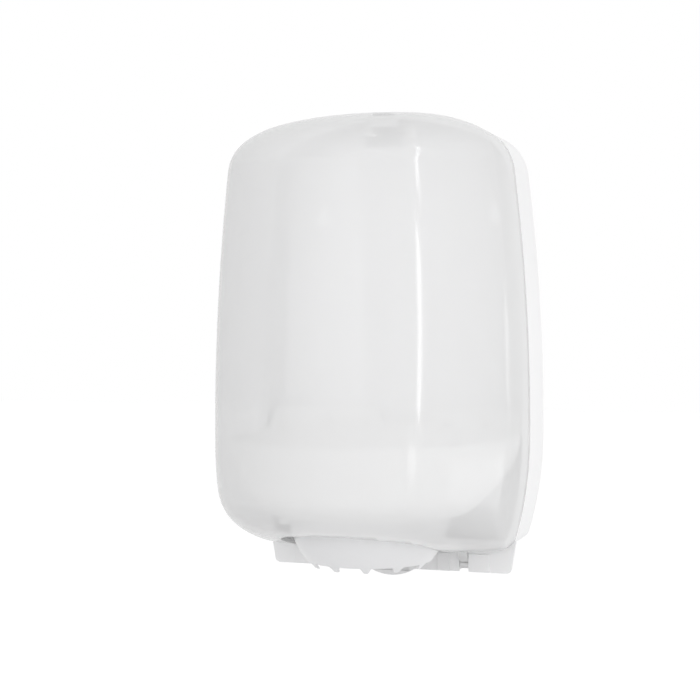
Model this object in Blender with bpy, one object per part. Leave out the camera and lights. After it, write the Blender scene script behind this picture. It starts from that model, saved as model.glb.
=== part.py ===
"""Wall dispenser for centrefeed paper rolls, in metres.

X runs to the right, Y back into the wall and Z up. The wall is the plane Y = 0. Heights are
measured from the lower edge of the skirt, and everything hangs from an empty at that level.
"""

import math

import bmesh
import bpy
import numpy as np
from mathutils import Matrix, Vector

# Overall form
overall_width = 0.239
shell_height = 0.3805  # top of the back shell over the skirt's lower edge
shell_depth = 0.053  # from the wall to the seam with the cover
overall_depth = 0.231
origin_height = 0.200  # the part's origin, on the wall, over the skirt's lower edge

# Front outline, shared by the back shell and the cover
widest_height = 0.125
roof_fall = 0.0373  # of the roof's arc, from its crest to the width of the sides
roof_radius = ((overall_width / 2) ** 2 + roof_fall**2) / (2 * roof_fall)
shoulder_radius = 0.041
side_radius = 1.64
lower_side_height = 0.110
lower_side_radius = 0.296
heel_radius = 0.011
floor_height = 0.0155
floor_radius = 0.800

# Cover
cover_wall = 0.0025
straight_share = 0.374  # part of each level's depth that is straight before it turns round
roof_slope = 0.101  # fall of the roof for each metre forward
brow_share = 0.8427  # part of the cover's depth over which the roof rounds over to the front
brow_length = brow_share * (overall_depth - shell_depth)
brow_drop = 0.039
chin_height = 0.079
chin_reach = 1.07
chin_sharpness = 0.41

# Back shell
shell_wall = 0.0025
plate_thickness = 0.003
lip_thickness = 0.0022
lip_length = 0.005
lip_root = 0.007
seam_edge = 0.0006
skirt_thickness = 0.003
skirt_top_height = 0.027
skirt_inset = 0.0115  # from the widest point to the top of the skirt's end
skirt_taper = 0.0038
skirt_top_half_width = overall_width / 2 - skirt_inset
skirt_half_width = skirt_top_half_width - skirt_taper
skirt_corner = 0.005
mouth_relief_half_width = 0.026  # the mouthpiece passes over the shell's floor there
skirt_rib_reach = 0.028
skirt_rib_thickness = 0.002
tab_half_width = 0.021
tab_drop = 0.006
tab_slot_half_width = 0.016
tab_slot_drop = 0.002
tab_slot_rise = 0.0025
wall_hole_inset = 0.0415  # from the widest point to a hole's middle
keyhole_drop = 0.0755  # from the top edge
keyhole_height = shell_height - keyhole_drop
wall_screw_radius = 0.00275
keyhole_head_radius = 0.0055
keyhole_rise = 0.009
hole_boss_radius = 0.010
hole_boss_length = 0.0015

# Tray
nozzle_setback = 0.0075  # from half the depth back to the roll's and the mouthpiece's axis
nozzle_depth = overall_depth / 2 - nozzle_setback
tray_wall = 0.0025
tray_side_clearance = 0.0095
tray_front_clearance = 0.013
tray_rear_clearance = 0.011
tray_half_width = overall_width / 2 - tray_side_clearance
tray_front_reach = overall_depth - nozzle_depth - tray_front_clearance
tray_rear_reach = nozzle_depth - tray_rear_clearance
tray_rear_roundness = 8
tray_floor_height = 0.0575
tray_rim_height = 0.1145
upstand_rise = 0.0175
tray_upstand_height = tray_rim_height + upstand_rise
tray_ramp_length = 0.020
tray_notch_half_width = 0.022
tray_notch_depth = 0.012
bowl_run_shares = (0.35, 0.62, 0.82, 0.94, 1.0)
bowl_rise_shares = (0.18, 0.36, 0.56, 0.74, 0.88)
tray_screw_shares = (0.336, 0.636)  # of the tray's half width
tray_screw_rise = 0.0045
tray_screw_height = tray_rim_height + tray_screw_rise
tray_boss_radius = 0.005
ring_boss_radius = 0.004
ring_boss_length = 0.0055
lower_hole_rise = 0.036
lower_hole_height = tray_upstand_height + lower_hole_rise

# Mouthpiece
mouth_share = 0.28355  # the mouthpiece's radius as a part of the overall depth
crown_radius = mouth_share * overall_depth
crown_centre_rise = 0.001
crown_centre_height = tray_floor_height + crown_centre_rise  # middle of the ball that it is cut from
crown_wall = 0.0022
crown_flange_reach = 0.0135
crown_flange_radius = crown_radius + crown_flange_reach
crown_flange = 0.002
crown_edge_height = 0.0166
tooth_count = 12
tooth_length = 0.0044
tooth_root_width = 0.0095
tooth_tip_width = 0.0028
funnel_flange_reach = 0.003
funnel_flange_radius = crown_radius + funnel_flange_reach
funnel_flange = 0.002
funnel_guide_length = 0.004
funnel_wall = 0.002
throat_radius = 0.011
throat_top_height = 0.031
throat_length = 0.007
ring_thickness = 0.002
ring_overlap = 0.006
ring_screw_inset = 0.0047
ring_screw_circle = crown_flange_radius - ring_screw_inset
ring_screw_count = 4

# Cut-out in the cover's underside, round the mouthpiece
cutout_side_inset = 0.006
cutout_front_reach = 0.0235
cutout_half_width = crown_radius - cutout_side_inset
cutout_depth = nozzle_depth + crown_radius + cutout_front_reach
cutout_corner = 0.028
cutout_height = tray_floor_height + tray_wall

# Hinge
hinge_setback = 0.0055
hinge_depth = shell_depth - hinge_setback
hinge_height = 0.008
pin_radius = 0.0022
knuckle_radius = 0.005
knuckle_width = 0.0075
knuckle_gap = 0.0003  # beside the cut-out and beside the lug
inner_lug_width = 0.0104
outer_lug_width = 0.0179
window_width = 0.0162
window_end = cutout_half_width + knuckle_width + 2 * knuckle_gap
inner_lug = (window_end - window_width - inner_lug_width, window_end - window_width)
outer_lug = (window_end, window_end + outer_lug_width)
lug_proud = 0.001
lug_back_reach = 0.006
lug_back_depth = hinge_depth - lug_back_reach
lug_foot_height = 0.001
lug_top_height = 0.015
leaf_reach = 0.007
pin_end_wall = 0.0012

# Screws
screw_radius = 0.0014
screw_head_radius = 0.003
screw_head_height = 0.0018
screw_bite = 0.0045
screw_head_shares = ((1.0, 0.45), (0.72, 0.86))  # of the head's radius and height

# Lock
lock_setback = 0.018
lock_depth = shell_depth + lock_setback
lock_boss_radius = 0.012
lock_boss_length = 0.009
lock_recess_radius = 0.0096
lock_recess_depth = 0.0035
barrel_radius = 0.0057
barrel_flange = 0.0025
barrel_bevel = 0.0005
barrel_reach = 0.0034  # how far the barrel comes out under the nut
key_slot_half_length = 0.0045
key_slot_half_width = 0.0011
key_slot_depth = 0.0015
nut_radius = 0.0092
nut_thickness = 0.0027
cam_thickness = 0.0085
cam_hub_radius = 0.007
cam_hook_radius = 0.0165
cam_hook_inner_radius = 0.0136
cam_draft = 0.0017
tang_half_width = 0.003
cam_screw_head_radius = 0.004
keeper_half_width = 0.018
keeper_thickness = 0.002
keeper_height = 0.0125
keeper_arm_half_width = 0.005
keeper_arm_thickness = 0.002
peg_half_width = 0.0025
peg_depth = 0.003
bulkhead_half_width = 0.022
bulkhead_thickness = 0.003
keeper_screw_spacing = 0.026

# Fits
gap = 0.0003  # between pieces that rest on each other
running_gap = 0.0006  # between the cover and the lip that it closes over
overrun = 0.004  # how far a cutter goes past what it cuts
embed = 0.0015  # how far a joined shape goes into its neighbour

# Smoothness, in counts, and the angle from which an edge is drawn sharp
crease_angle = math.radians(35)
roof_steps = 7
shoulder_steps = 5
brow_steps = 4
side_steps = 5
lower_side_steps = 8
heel_steps = 3
floor_steps = 4
straight_steps = 2
front_steps = 11
profile_samples = 600
bowl_sides = 60
funnel_sides = 40
crown_steps = 5
small_sides = 16
screw_sides = 8
nut_sides = 24


# Scene, materials and meshes

def clear_scene():
    for thing in list(bpy.data.objects):
        bpy.data.objects.remove(thing)


def make_material(name, colour, roughness, metallic=0.0, alpha=1.0):
    material = bpy.data.materials.new(name)
    material.use_nodes = True
    shader = material.node_tree.nodes["Principled BSDF"]
    shader.inputs["Base Color"].default_value = (*colour, 1.0)
    shader.inputs["Roughness"].default_value = roughness
    shader.inputs["Metallic"].default_value = metallic
    shader.inputs["Alpha"].default_value = alpha
    material.diffuse_color = (*colour, alpha)
    return material


def make_empty(name, place, parent=None):
    empty = bpy.data.objects.new(name, None)
    empty.location = place
    empty.parent = parent
    bpy.context.collection.objects.link(empty)
    return empty


def make_object(name, points, faces, parent, material=None, pivot=(0.0, 0.0, 0.0)):
    """An object whose points are given from the skirt's level, with its own origin at pivot."""
    mesh = bpy.data.meshes.new(name)
    mesh.from_pydata([tuple(point) for point in points], [], faces)
    shape = bmesh.new()
    shape.from_mesh(mesh)
    bmesh.ops.remove_doubles(shape, verts=shape.verts, dist=gap / bowl_sides)
    bmesh.ops.recalc_face_normals(shape, faces=shape.faces)
    shape.to_mesh(mesh)
    shape.free()
    mesh.transform(Matrix.Translation(-Vector(pivot)))
    thing = bpy.data.objects.new(name, mesh)
    thing.parent = parent
    thing.location = pivot
    bpy.context.collection.objects.link(thing)
    if material:
        mesh.materials.append(material)
    mesh.shade_smooth()
    mesh.set_sharp_from_angle(angle=crease_angle)
    return thing


def ring_faces(ring_count, points_per_ring, around=False, caps=True):
    """Quads between successive closed rings; around joins the last ring to the first."""
    faces = []
    spans = ring_count if around else ring_count - 1
    for ring in range(spans):
        here = ring * points_per_ring
        there = ((ring + 1) % ring_count) * points_per_ring
        for step in range(points_per_ring):
            after = (step + 1) % points_per_ring
            faces.append((here + step, here + after, there + after, there + step))
    if caps and not around:
        faces.append(tuple(range(points_per_ring - 1, -1, -1)))
        faces.append(tuple(range((ring_count - 1) * points_per_ring, ring_count * points_per_ring)))
    return faces


def make_lofted(name, rings, parent, material=None, pivot=(0.0, 0.0, 0.0), around=False):
    points = np.concatenate(rings)
    faces = ring_faces(len(rings), len(rings[0]), around)
    return make_object(name, points, faces, parent, material, pivot)


def make_turned(name, profile, centre, parent, material=None, sides=bowl_sides, pivot=None):
    """A closed profile of (radius, height) carried round a vertical axis through centre."""
    angles = np.linspace(0.0, 2 * math.pi, sides, endpoint=False)
    rings = []
    for radius, height in profile:
        x = centre[0] + radius * np.cos(angles)
        y = centre[1] + radius * np.sin(angles)
        rings.append(np.column_stack((x, y, np.full(sides, height))))
    return make_lofted(name, rings, parent, material, pivot or (*centre, 0.0), around=True)


def make_rod(name, start, end, radius, parent, material=None, sides=small_sides,
             pivot=(0.0, 0.0, 0.0)):
    """A plain round rod between two points."""
    start = Vector(start)
    turn = (Vector(end) - start).to_track_quat("Z", "X").to_matrix()
    length = (Vector(end) - start).length
    angles = np.linspace(0.0, 2 * math.pi, sides, endpoint=False)
    rings = []
    for height in (0.0, length):
        local = [Vector((radius * math.cos(a), radius * math.sin(a), height)) for a in angles]
        rings.append(np.array([start + turn @ point for point in local]))
    return make_lofted(name, rings, parent, material, pivot)


def make_block(name, low, high, parent, material=None, pivot=(0.0, 0.0, 0.0)):
    corners = np.array([(low[0], low[1]), (high[0], low[1]), (high[0], high[1]), (low[0], high[1])])
    rings = [np.column_stack((corners, np.full(len(corners), z))) for z in (low[2], high[2])]
    return make_lofted(name, rings, parent, material, pivot)


def make_plate(name, outline, start, end, parent, across=1, material=None):
    """An outline extruded from start to end along X (across=0), Y (1) or Z (2)."""
    others = [axis for axis in range(3) if axis != across]
    rings = []
    for reach in (start, end):
        ring = np.zeros((len(outline), 3))
        ring[:, others] = outline
        ring[:, across] = reach
        rings.append(ring)
    return make_lofted(name, rings, parent, material)


def combine(thing, other, operation):
    """Join other to thing, or cut thing with it; the other shape itself isn't part of the model."""
    other.hide_render = True
    other.display_type = "WIRE"
    boolean = thing.modifiers.new(operation.lower() + "_" + other.name, "BOOLEAN")
    boolean.operation = operation
    boolean.solver = "EXACT"
    boolean.object = other


def join(thing, other):
    combine(thing, other, "UNION")


def cut(thing, cutter):
    combine(thing, cutter, "DIFFERENCE")


# Front outline, as arcs that touch without a kink

def crossing(centre_a, reach_a, centre_b, reach_b, side):
    """The point at reach_a from one centre and reach_b from the other, on the given side."""
    across = np.subtract(centre_b, centre_a)
    distance = np.hypot(*across)
    along = (distance**2 + reach_a**2 - reach_b**2) / (2 * distance)
    off = side * math.sqrt(reach_a**2 - along**2)
    unit = across / distance
    return np.asarray(centre_a) + along * unit + off * np.array((-unit[1], unit[0]))


def bearing(point, centre):
    return math.atan2(point[1] - centre[1], point[0] - centre[0])


def outline_arcs():
    """Centre, radius, first and last angle and steps of the arcs down the right-hand side."""
    half_width = overall_width / 2
    roof = np.array((0.0, shell_height - roof_radius))
    side = np.array((half_width - side_radius, widest_height))
    shoulder = crossing(roof, roof_radius - shoulder_radius, side, side_radius - shoulder_radius, -1)
    brow_end = shell_height - roof_line(overall_depth)
    brow_angle = math.asin((brow_end - widest_height) / side_radius)
    low_angle = math.asin((lower_side_height - widest_height) / side_radius)
    low_direction = np.array((math.cos(low_angle), math.sin(low_angle)))
    low = side + (side_radius - lower_side_radius) * low_direction
    floor = np.array((0.0, floor_height + floor_radius))
    heel = crossing(floor, floor_radius - heel_radius, low, lower_side_radius - heel_radius, 1)
    return (
        (roof, roof_radius, math.pi / 2, bearing(shoulder, roof), roof_steps),
        (shoulder, shoulder_radius, bearing(shoulder, roof), bearing(shoulder, side), shoulder_steps),
        (side, side_radius, bearing(shoulder, side), brow_angle, brow_steps),
        (side, side_radius, brow_angle, low_angle, side_steps),
        (low, lower_side_radius, low_angle, bearing(heel, low), lower_side_steps),
        (heel, heel_radius, bearing(heel, low), bearing(heel, floor), heel_steps),
        (floor, floor_radius, bearing(heel, floor), -math.pi / 2, floor_steps),
    )


def half_outline(inset=0.0):
    """Points (x, height) from the middle of the roof down the right side to the middle below."""
    points = []
    for centre, radius, first, last, steps in outline_arcs():
        angles = np.linspace(first, last, steps, endpoint=False)
        reach = radius - inset
        points.append(centre + reach * np.column_stack((np.cos(angles), np.sin(angles))))
    points.append(np.array([(0.0, floor_height + inset)]))
    return np.concatenate(points)


def whole_outline(inset=0.0):
    right = half_outline(inset)
    left = right[-2:0:-1] * (-1, 1)
    return np.concatenate((right, left))


def outline_ring(inset, depth):
    outline = whole_outline(inset)
    return np.column_stack((outline[:, 0], np.full(len(outline), -depth), outline[:, 1]))


# Cover

def roof_line(depth):
    """How far the roof's crest has fallen at a depth: a slope that rounds over at the brow."""
    past = np.maximum(0.0, depth - (overall_depth - brow_length)) / brow_length
    return roof_slope * (depth - shell_depth) + brow_drop * (1 - np.sqrt(1 - past**2))


def chin_line(depth):
    """Height of the cover's underside at a depth: low at the seam, sweeping up to the chin."""
    run = (depth - shell_depth) / (overall_depth - shell_depth)
    return chin_height - (chin_height - floor_height) * (1 - run**chin_reach) ** chin_sharpness


def front_depth(height):
    """Depth of the cover's middle line at a height: roof and brow, upright front, or chin."""
    depths = np.linspace(shell_depth, overall_depth, profile_samples)
    if height > widest_height:
        return np.interp(-height, roof_line(depths) - shell_height, depths)
    return np.interp(height, chin_line(depths), depths)


def cover_level(half_width, height):
    """One level of the cover from right to left: straight sides, then half an ellipse."""
    start = shell_depth + running_gap
    middle = front_depth(height)
    straight = start + straight_share * (middle - start)
    right = []
    for step in range(straight_steps):
        right.append((half_width, start + (straight - start) * step / straight_steps))
    for step in range(front_steps):
        angle = math.pi / 2 * step / front_steps
        right.append((half_width * math.cos(angle), straight + (middle - straight) * math.sin(angle)))
    left = [(-x, depth) for x, depth in reversed(right)]
    return [(x, -depth, height) for x, depth in right + [(0.0, middle)] + left]


def cutout_outline(half_width, depth, corner):
    """U shape in plan, open at the seam, with round front corners."""
    open_end = -shell_depth + overrun
    points = [(half_width, open_end)]
    for step in range(small_sides // 2 + 1):
        angle = math.pi / 2 * step / (small_sides // 2)
        x = half_width - corner + corner * math.cos(angle)
        points.append((x, -(depth - corner) - corner * math.sin(angle)))
    left = [(-x, y) for x, y in reversed(points)]
    return np.array(points + left)


def make_cover(parent, material, pivot):
    levels = [cover_level(half_width, height) for half_width, height in half_outline()[1:-1]]
    start = -(shell_depth + running_gap)
    points = [(0.0, start, shell_height)] + [point for level in levels for point in level]
    points.append((0.0, start, floor_height))
    across = len(levels[0])
    last = len(points) - 1
    faces = []
    for step in range(across - 1):
        faces.append((0, step + 1, step + 2))
        faces.append((last, last - 1 - step, last - 2 - step))
        for row in range(len(levels) - 1):
            here = 1 + row * across + step
            faces.append((here, here + across, here + across + 1, here + 1))
    cover = make_object("front_cover", points, faces, parent, material, pivot)
    face_outwards(cover)
    shell = cover.modifiers.new("wall", "SOLIDIFY")
    shell.thickness = cover_wall
    shell.offset = -1.0
    shell.use_even_offset = True
    shell.use_rim = True
    cut(cover, make_plate("cutout", cutout_outline(cutout_half_width, cutout_depth, cutout_corner),
                          -overrun, cutout_height, parent, across=2))
    add_lock_boss(cover, parent)
    for side in (-1, 1):
        add_knuckle(cover, side, parent)
    return cover


def face_outwards(cover):
    """Point the open shell's faces away from its inside."""
    shape = bmesh.new()
    shape.from_mesh(cover.data)
    foremost = min(shape.faces, key=lambda face: face.calc_center_median().y)
    if foremost.normal.y > 0:
        bmesh.ops.reverse_faces(shape, faces=shape.faces)
    shape.to_mesh(cover.data)
    shape.free()


def lock_seat_height():
    """Floor of the round recess that the lock barrel's flange lies in."""
    return shell_height - roof_line(lock_depth) - lock_recess_depth


def add_lock_boss(cover, parent):
    seat = lock_seat_height()
    foot = seat - lock_boss_length
    top = seat + lock_recess_depth - cover_wall / 2
    centre = (0.0, -lock_depth)
    join(cover, make_rod("lock_boss", (*centre, foot), (*centre, top), lock_boss_radius, parent,
                         sides=2 * small_sides))
    cut(cover, make_rod("lock_recess", (*centre, seat), (*centre, seat + lock_recess_depth + overrun),
                        lock_recess_radius, parent, sides=2 * small_sides))
    cut(cover, make_rod("lock_hole", (*centre, foot - overrun), (*centre, seat + overrun),
                        barrel_radius + gap, parent, sides=2 * small_sides))


def floor_surface(x):
    """Height of the outline's lower edge at a distance from the middle."""
    return floor_height + floor_radius - math.sqrt(floor_radius**2 - x**2)


def add_knuckle(cover, side, parent):
    """A round eye under the cover's lower edge, on a short leaf, with the hinge pin's bore."""
    outer = outer_lug[0] - knuckle_gap
    inner = outer - knuckle_width
    back = -(shell_depth + running_gap + gap / 2)
    top = floor_surface(outer) + cover_wall / 2
    front = back - leaf_reach
    axis = (-hinge_depth, hinge_height)
    leaf = [
        (front, top),
        (back, top),
        (back, axis[1] + knuckle_radius - gap),
        (axis[0], axis[1] + knuckle_radius - gap),
        axis,
        (axis[0] - knuckle_radius + gap, axis[1]),
    ]
    ends = sorted((side * inner, side * outer))
    join(cover, make_plate(f"leaf_{side}", np.array(leaf), *ends, parent, across=0))
    start = (ends[0], *axis)
    end = (ends[1], *axis)
    join(cover, make_rod(f"eye_{side}", start, end, knuckle_radius, parent))
    cut(cover, make_rod(f"eye_bore_{side}", (ends[0] - overrun, *axis), (ends[1] + overrun, *axis),
                        pin_radius + gap, parent))


# Back shell

def make_back_shell(parent, material):
    lip_inset = cover_wall + running_gap
    lip_tip_inset = lip_inset + roof_slope * lip_length
    lip_inner = lip_tip_inset + lip_thickness
    lip_end = shell_depth + lip_length
    profile = [
        (0.0, 0.0),
        (0.0, shell_depth - seam_edge),
        (seam_edge, shell_depth),
        (lip_inset, shell_depth),
        (lip_tip_inset, lip_end),
        (lip_inner, lip_end),
        (lip_inner, shell_depth - lip_root),
        (shell_wall, shell_depth - lip_root - lip_inner + shell_wall),
        (shell_wall, plate_thickness),
    ]
    rings = [outline_ring(inset, depth) for inset, depth in profile]
    shell = make_lofted("back_shell", rings, parent, material)
    add_skirt(shell, parent)
    relief_half = cutout_half_width + running_gap
    cut(shell, make_block("lip_relief",
                          (-relief_half, -lip_end - overrun, 0.0),
                          (relief_half, -shell_depth, skirt_top_height), parent))
    cut(shell, make_block("mouth_relief",
                          (-mouth_relief_half_width, -shell_depth - overrun,
                           floor_surface(mouth_relief_half_width) + shell_wall),
                          (mouth_relief_half_width, -shell_depth + 2 * lip_root,
                           skirt_top_height + overrun), parent))
    for side in (-1, 1):
        add_lugs(shell, side, parent)
        add_wall_holes(shell, side, parent)
        add_tray_bosses(shell, side, parent)
    add_keeper_wall(shell, parent)
    return shell


def skirt_outline():
    """Right half from the top down, then mirrored: straight ends with small round corners."""
    points = [(skirt_top_half_width, skirt_top_height)]
    for step in range(small_sides // 4 + 1):
        angle = math.pi / 2 * step / (small_sides // 4)
        x = skirt_half_width - skirt_corner + skirt_corner * math.cos(angle)
        points.append((x, skirt_corner - skirt_corner * math.sin(angle)))
    left = [(-x, z) for x, z in reversed(points)]
    return np.array(points + left)


def tab_outline():
    """A shallow half-round tongue under the middle of the skirt."""
    radius = (tab_half_width**2 + tab_drop**2) / (2 * tab_drop)
    sweep = math.asin(tab_half_width / radius)
    angles = np.linspace(-sweep, sweep, small_sides)
    arc = [(radius * math.sin(a), radius - tab_drop - radius * math.cos(a)) for a in angles]
    root = tab_slot_rise + embed
    return np.array([(-tab_half_width, root)] + arc + [(tab_half_width, root)])


def add_skirt(shell, parent):
    front = -shell_depth
    back = front + skirt_thickness
    join(shell, make_plate("skirt", skirt_outline(), front, back, parent))
    join(shell, make_plate("tab", tab_outline(), back - embed, back + embed, parent))
    cut(shell, make_block("tab_slot",
                          (-tab_slot_half_width, front - overrun, -tab_slot_drop),
                          (tab_slot_half_width, back + overrun, tab_slot_rise), parent))
    for side in (-1, 1):
        for middle in (sum(inner_lug) / 2, sum(outer_lug) / 2, skirt_half_width - skirt_corner):
            add_skirt_rib(shell, side, middle, parent)


def add_skirt_rib(shell, side, middle, parent):
    """A triangular rib from the back of the skirt up to the shell's floor."""
    back = -shell_depth + skirt_thickness - embed
    foot = lug_foot_height + embed
    top = floor_height + embed
    outline = np.array([(back, foot), (back, top), (back + skirt_rib_reach, top)])
    x = side * middle
    half = skirt_rib_thickness / 2
    join(shell, make_plate(f"rib_{side}_{middle:.4f}", outline, x - half, x + half, parent, across=0))


def add_lugs(shell, side, parent):
    """Two bored blocks that stand a little proud of the skirt, with a window between them."""
    front = -shell_depth - lug_proud
    ends = sorted((side * inner_lug[0], side * outer_lug[1]))
    join(shell, make_block(f"lugs_{side}", (ends[0], front, lug_foot_height),
                           (ends[1], -lug_back_depth, lug_top_height), parent))
    window = sorted((side * inner_lug[1], side * outer_lug[0]))
    cut(shell, make_block(f"window_{side}",
                          (window[0], front - overrun, -overrun),
                          (window[1], -lug_back_depth + overrun, floor_height - gap), parent))
    bore_ends = sorted((side * (inner_lug[0] - overrun), side * (outer_lug[1] - pin_end_wall)))
    axis = (-hinge_depth, hinge_height)
    cut(shell, make_rod(f"pin_bore_{side}", (bore_ends[0], *axis), (bore_ends[1], *axis),
                        pin_radius + gap, parent))


def keyhole_outline(x, slot_radius, head_radius):
    """Round top of the slot, its straight sides and the wider round head below it."""
    head_height = keyhole_height - keyhole_rise
    outline = []
    for step in range(small_sides // 2 + 1):
        angle = math.pi * step / (small_sides // 2)
        outline.append((x + slot_radius * math.cos(angle), keyhole_height + slot_radius * math.sin(angle)))
    neck = math.acos(slot_radius / head_radius)
    for step in range(small_sides + 1):
        angle = math.pi - neck + (math.pi + 2 * neck) * step / small_sides
        outline.append((x + head_radius * math.cos(angle), head_height + head_radius * math.sin(angle)))
    return np.array(outline)


def add_wall_holes(shell, side, parent):
    """A keyhole above and a round hole below, each in a low pad on the plate."""
    x = side * (overall_width / 2 - wall_hole_inset)
    root = -plate_thickness + embed
    pad_end = -plate_thickness - hole_boss_length
    past = -plate_thickness - overrun
    pad = keyhole_outline(x, hole_boss_radius - wall_screw_radius, hole_boss_radius)
    join(shell, make_plate(f"key_pad_{side}", pad, root, pad_end, parent))
    hole = keyhole_outline(x, wall_screw_radius, keyhole_head_radius)
    cut(shell, make_plate(f"keyhole_{side}", hole, overrun, past, parent))
    low = (x, root, lower_hole_height)
    join(shell, make_rod(f"low_pad_{side}", low, (x, pad_end, lower_hole_height), hole_boss_radius, parent))
    cut(shell, make_rod(f"low_hole_{side}", (x, overrun, lower_hole_height),
                        (x, past, lower_hole_height), wall_screw_radius, parent))


def tray_back_depth():
    """Depth of the tray's rear wall, on the side that faces the back shell."""
    return nozzle_depth - tray_rear_reach - tray_wall


def add_tray_bosses(shell, side, parent):
    end = -(tray_back_depth() - gap)
    height = tray_screw_height
    for number, share in enumerate(tray_screw_shares):
        x = side * tray_half_width * share
        join(shell, make_rod(f"tray_boss_{side}_{number}", (x, -plate_thickness + embed, height),
                             (x, end, height), tray_boss_radius, parent))
        cut(shell, make_rod(f"tray_bore_{side}_{number}", (x, -plate_thickness / 2, height),
                            (x, end - overrun, height), screw_radius + gap, parent))


def keeper_foot_height():
    return lock_cam_top() + keeper_arm_thickness / 2


def lock_cam_top():
    return barrel_end_height() - gap


def barrel_end_height():
    """Lower end of the lock barrel's round part, under the nut."""
    return lock_nut_foot() - barrel_reach


def lock_nut_foot():
    return lock_seat_height() - lock_boss_length - gap - nut_thickness


def add_keeper_wall(shell, parent):
    """A short wall under the shell's top edge, with two bores, that carries the keeper."""
    foot = keeper_foot_height() + gap
    join(shell, make_block("bulkhead",
                           (-bulkhead_half_width, -shell_depth, foot),
                           (bulkhead_half_width, -shell_depth + bulkhead_thickness,
                            shell_height - shell_wall), parent))
    for side in (-1, 1):
        x = side * keeper_screw_spacing / 2
        height = keeper_screw_height()
        cut(shell, make_rod(f"keeper_bore_{side}", (x, -shell_depth - overrun, height),
                            (x, -shell_depth + bulkhead_thickness + overrun, height),
                            screw_radius + gap, parent))


def keeper_screw_height():
    return keeper_foot_height() + keeper_height / 2


def make_keeper(parent, material):
    """Steel plate on the short wall, with an arm that ends in a peg for the lock's hook."""
    front = -(shell_depth + gap + keeper_thickness)
    foot = keeper_foot_height()
    keeper = make_block("keeper_plate", (-keeper_half_width, front, foot),
                        (keeper_half_width, -(shell_depth + gap), foot + keeper_height),
                        parent, material)
    tip = -(lock_depth - peg_reach())
    join(keeper, make_block("keeper_arm", (-keeper_arm_half_width, tip, foot),
                            (keeper_arm_half_width, front + keeper_thickness / 2,
                             foot + keeper_arm_thickness), parent))
    join(keeper, make_block("keeper_peg",
                            (-peg_half_width, tip, lock_cam_top() - cam_thickness),
                            (peg_half_width, tip + peg_depth, foot + keeper_arm_thickness / 2),
                            parent))
    for side in (-1, 1):
        x = side * keeper_screw_spacing / 2
        cut(keeper, make_rod(f"keeper_hole_{side}", (x, front - overrun, keeper_screw_height()),
                             (x, -shell_depth + overrun, keeper_screw_height()),
                             screw_radius + gap, parent))
    return keeper


def peg_reach():
    """Distance of the peg's near face from the lock's axis."""
    return cam_hook_inner_radius - 2 * gap - peg_depth


# Tray and mouthpiece

def tray_reach(angle):
    """Distance of the tray's inner wall from the nozzle's axis: round in front, squarer behind."""
    across, back = math.cos(angle), math.sin(angle)
    if back <= 0:
        return 1 / math.hypot(across / tray_half_width, back / tray_front_reach)
    power = tray_rear_roundness
    sides = (abs(across) / tray_half_width) ** power + (back / tray_rear_reach) ** power
    return sides ** (-1 / power)


def tray_rear_depth(x):
    """Depth of the tray's inner rear wall at a distance from the middle."""
    power = tray_rear_roundness
    share = (1 - (abs(x) / tray_half_width) ** power) ** (1 / power)
    return nozzle_depth - tray_rear_reach * share


def tray_rim(angle):
    """Height of the rim: level in front and ramping up to the upstand behind."""
    y = tray_reach(angle) * math.sin(angle) - nozzle_depth
    along = (y + shell_depth) / tray_ramp_length
    along = min(1.0, max(0.0, along))
    return tray_rim_height + (tray_upstand_height - tray_rim_height) * along**2 * (3 - 2 * along)


def tray_hole_radius():
    return crown_radius + gap


def tray_section(angle):
    """Inside of the tray at one angle, from the hole's edge outwards and up to the rim."""
    reach = tray_reach(angle)
    rise = tray_rim_height - tray_floor_height
    floor_edge = crown_flange_radius + running_gap
    section = [(tray_hole_radius(), tray_floor_height), (floor_edge, tray_floor_height)]
    for run_share, rise_share in zip(bowl_run_shares, bowl_rise_shares):
        run = floor_edge + (reach - floor_edge) * run_share
        section.append((run, tray_floor_height + rise * rise_share))
    section.append((reach, tray_rim(angle)))
    return np.array(section)


def offset_section(section, wall):
    """The same line moved outwards and down by the wall, square to itself."""
    steps = np.diff(section, axis=0)
    steps = steps / np.hypot(steps[:, 0], steps[:, 1])[:, None]
    normals = np.column_stack((steps[:, 1], -steps[:, 0]))
    joined = np.vstack((normals[:1], normals[:-1] + normals[1:], normals[-1:]))
    joined[1:-1] /= (1 + (normals[:-1] * normals[1:]).sum(axis=1))[:, None]
    return section + wall * joined


def make_tray(parent, material):
    angles = np.linspace(0.0, 2 * math.pi, bowl_sides, endpoint=False)
    sections = []
    for angle in angles:
        inside = tray_section(angle)
        outside = offset_section(inside, tray_wall)
        section = np.vstack((inside, outside[::-1]))
        x = section[:, 0] * math.cos(angle)
        y = section[:, 0] * math.sin(angle) - nozzle_depth
        sections.append(np.column_stack((x, y, section[:, 1])))
    tray = make_lofted("roll_tray", sections, parent, material, (0.0, -nozzle_depth, 0.0), around=True)
    notch_floor = tray_upstand_height - tray_notch_depth
    cut(tray, make_block("tray_notch",
                         (-tray_notch_half_width, -shell_depth, notch_floor),
                         (tray_notch_half_width, 0.0, tray_upstand_height + overrun), parent))
    inner = nozzle_depth - tray_rear_reach
    height = tray_screw_height
    for side in (-1, 1):
        for number, share in enumerate(tray_screw_shares):
            x = side * tray_half_width * share
            cut(tray, make_rod(f"tray_hole_{side}_{number}", (x, 0.0, height),
                               (x, -inner - overrun, height), screw_radius + gap, parent))
    under = tray_floor_height - tray_wall
    for number, (x, y) in enumerate(ring_screw_places()):
        join(tray, make_rod(f"ring_boss_{number}", (x, y, under - ring_boss_length),
                            (x, y, under + embed), ring_boss_radius, parent, sides=screw_sides))
    for number, (x, y) in enumerate(ring_screw_places()):
        cut(tray, make_rod(f"ring_bore_{number}", (x, y, under - ring_boss_length + embed),
                           (x, y, tray_floor_height + overrun), screw_radius + gap, parent,
                           sides=screw_sides))
    return tray


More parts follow.
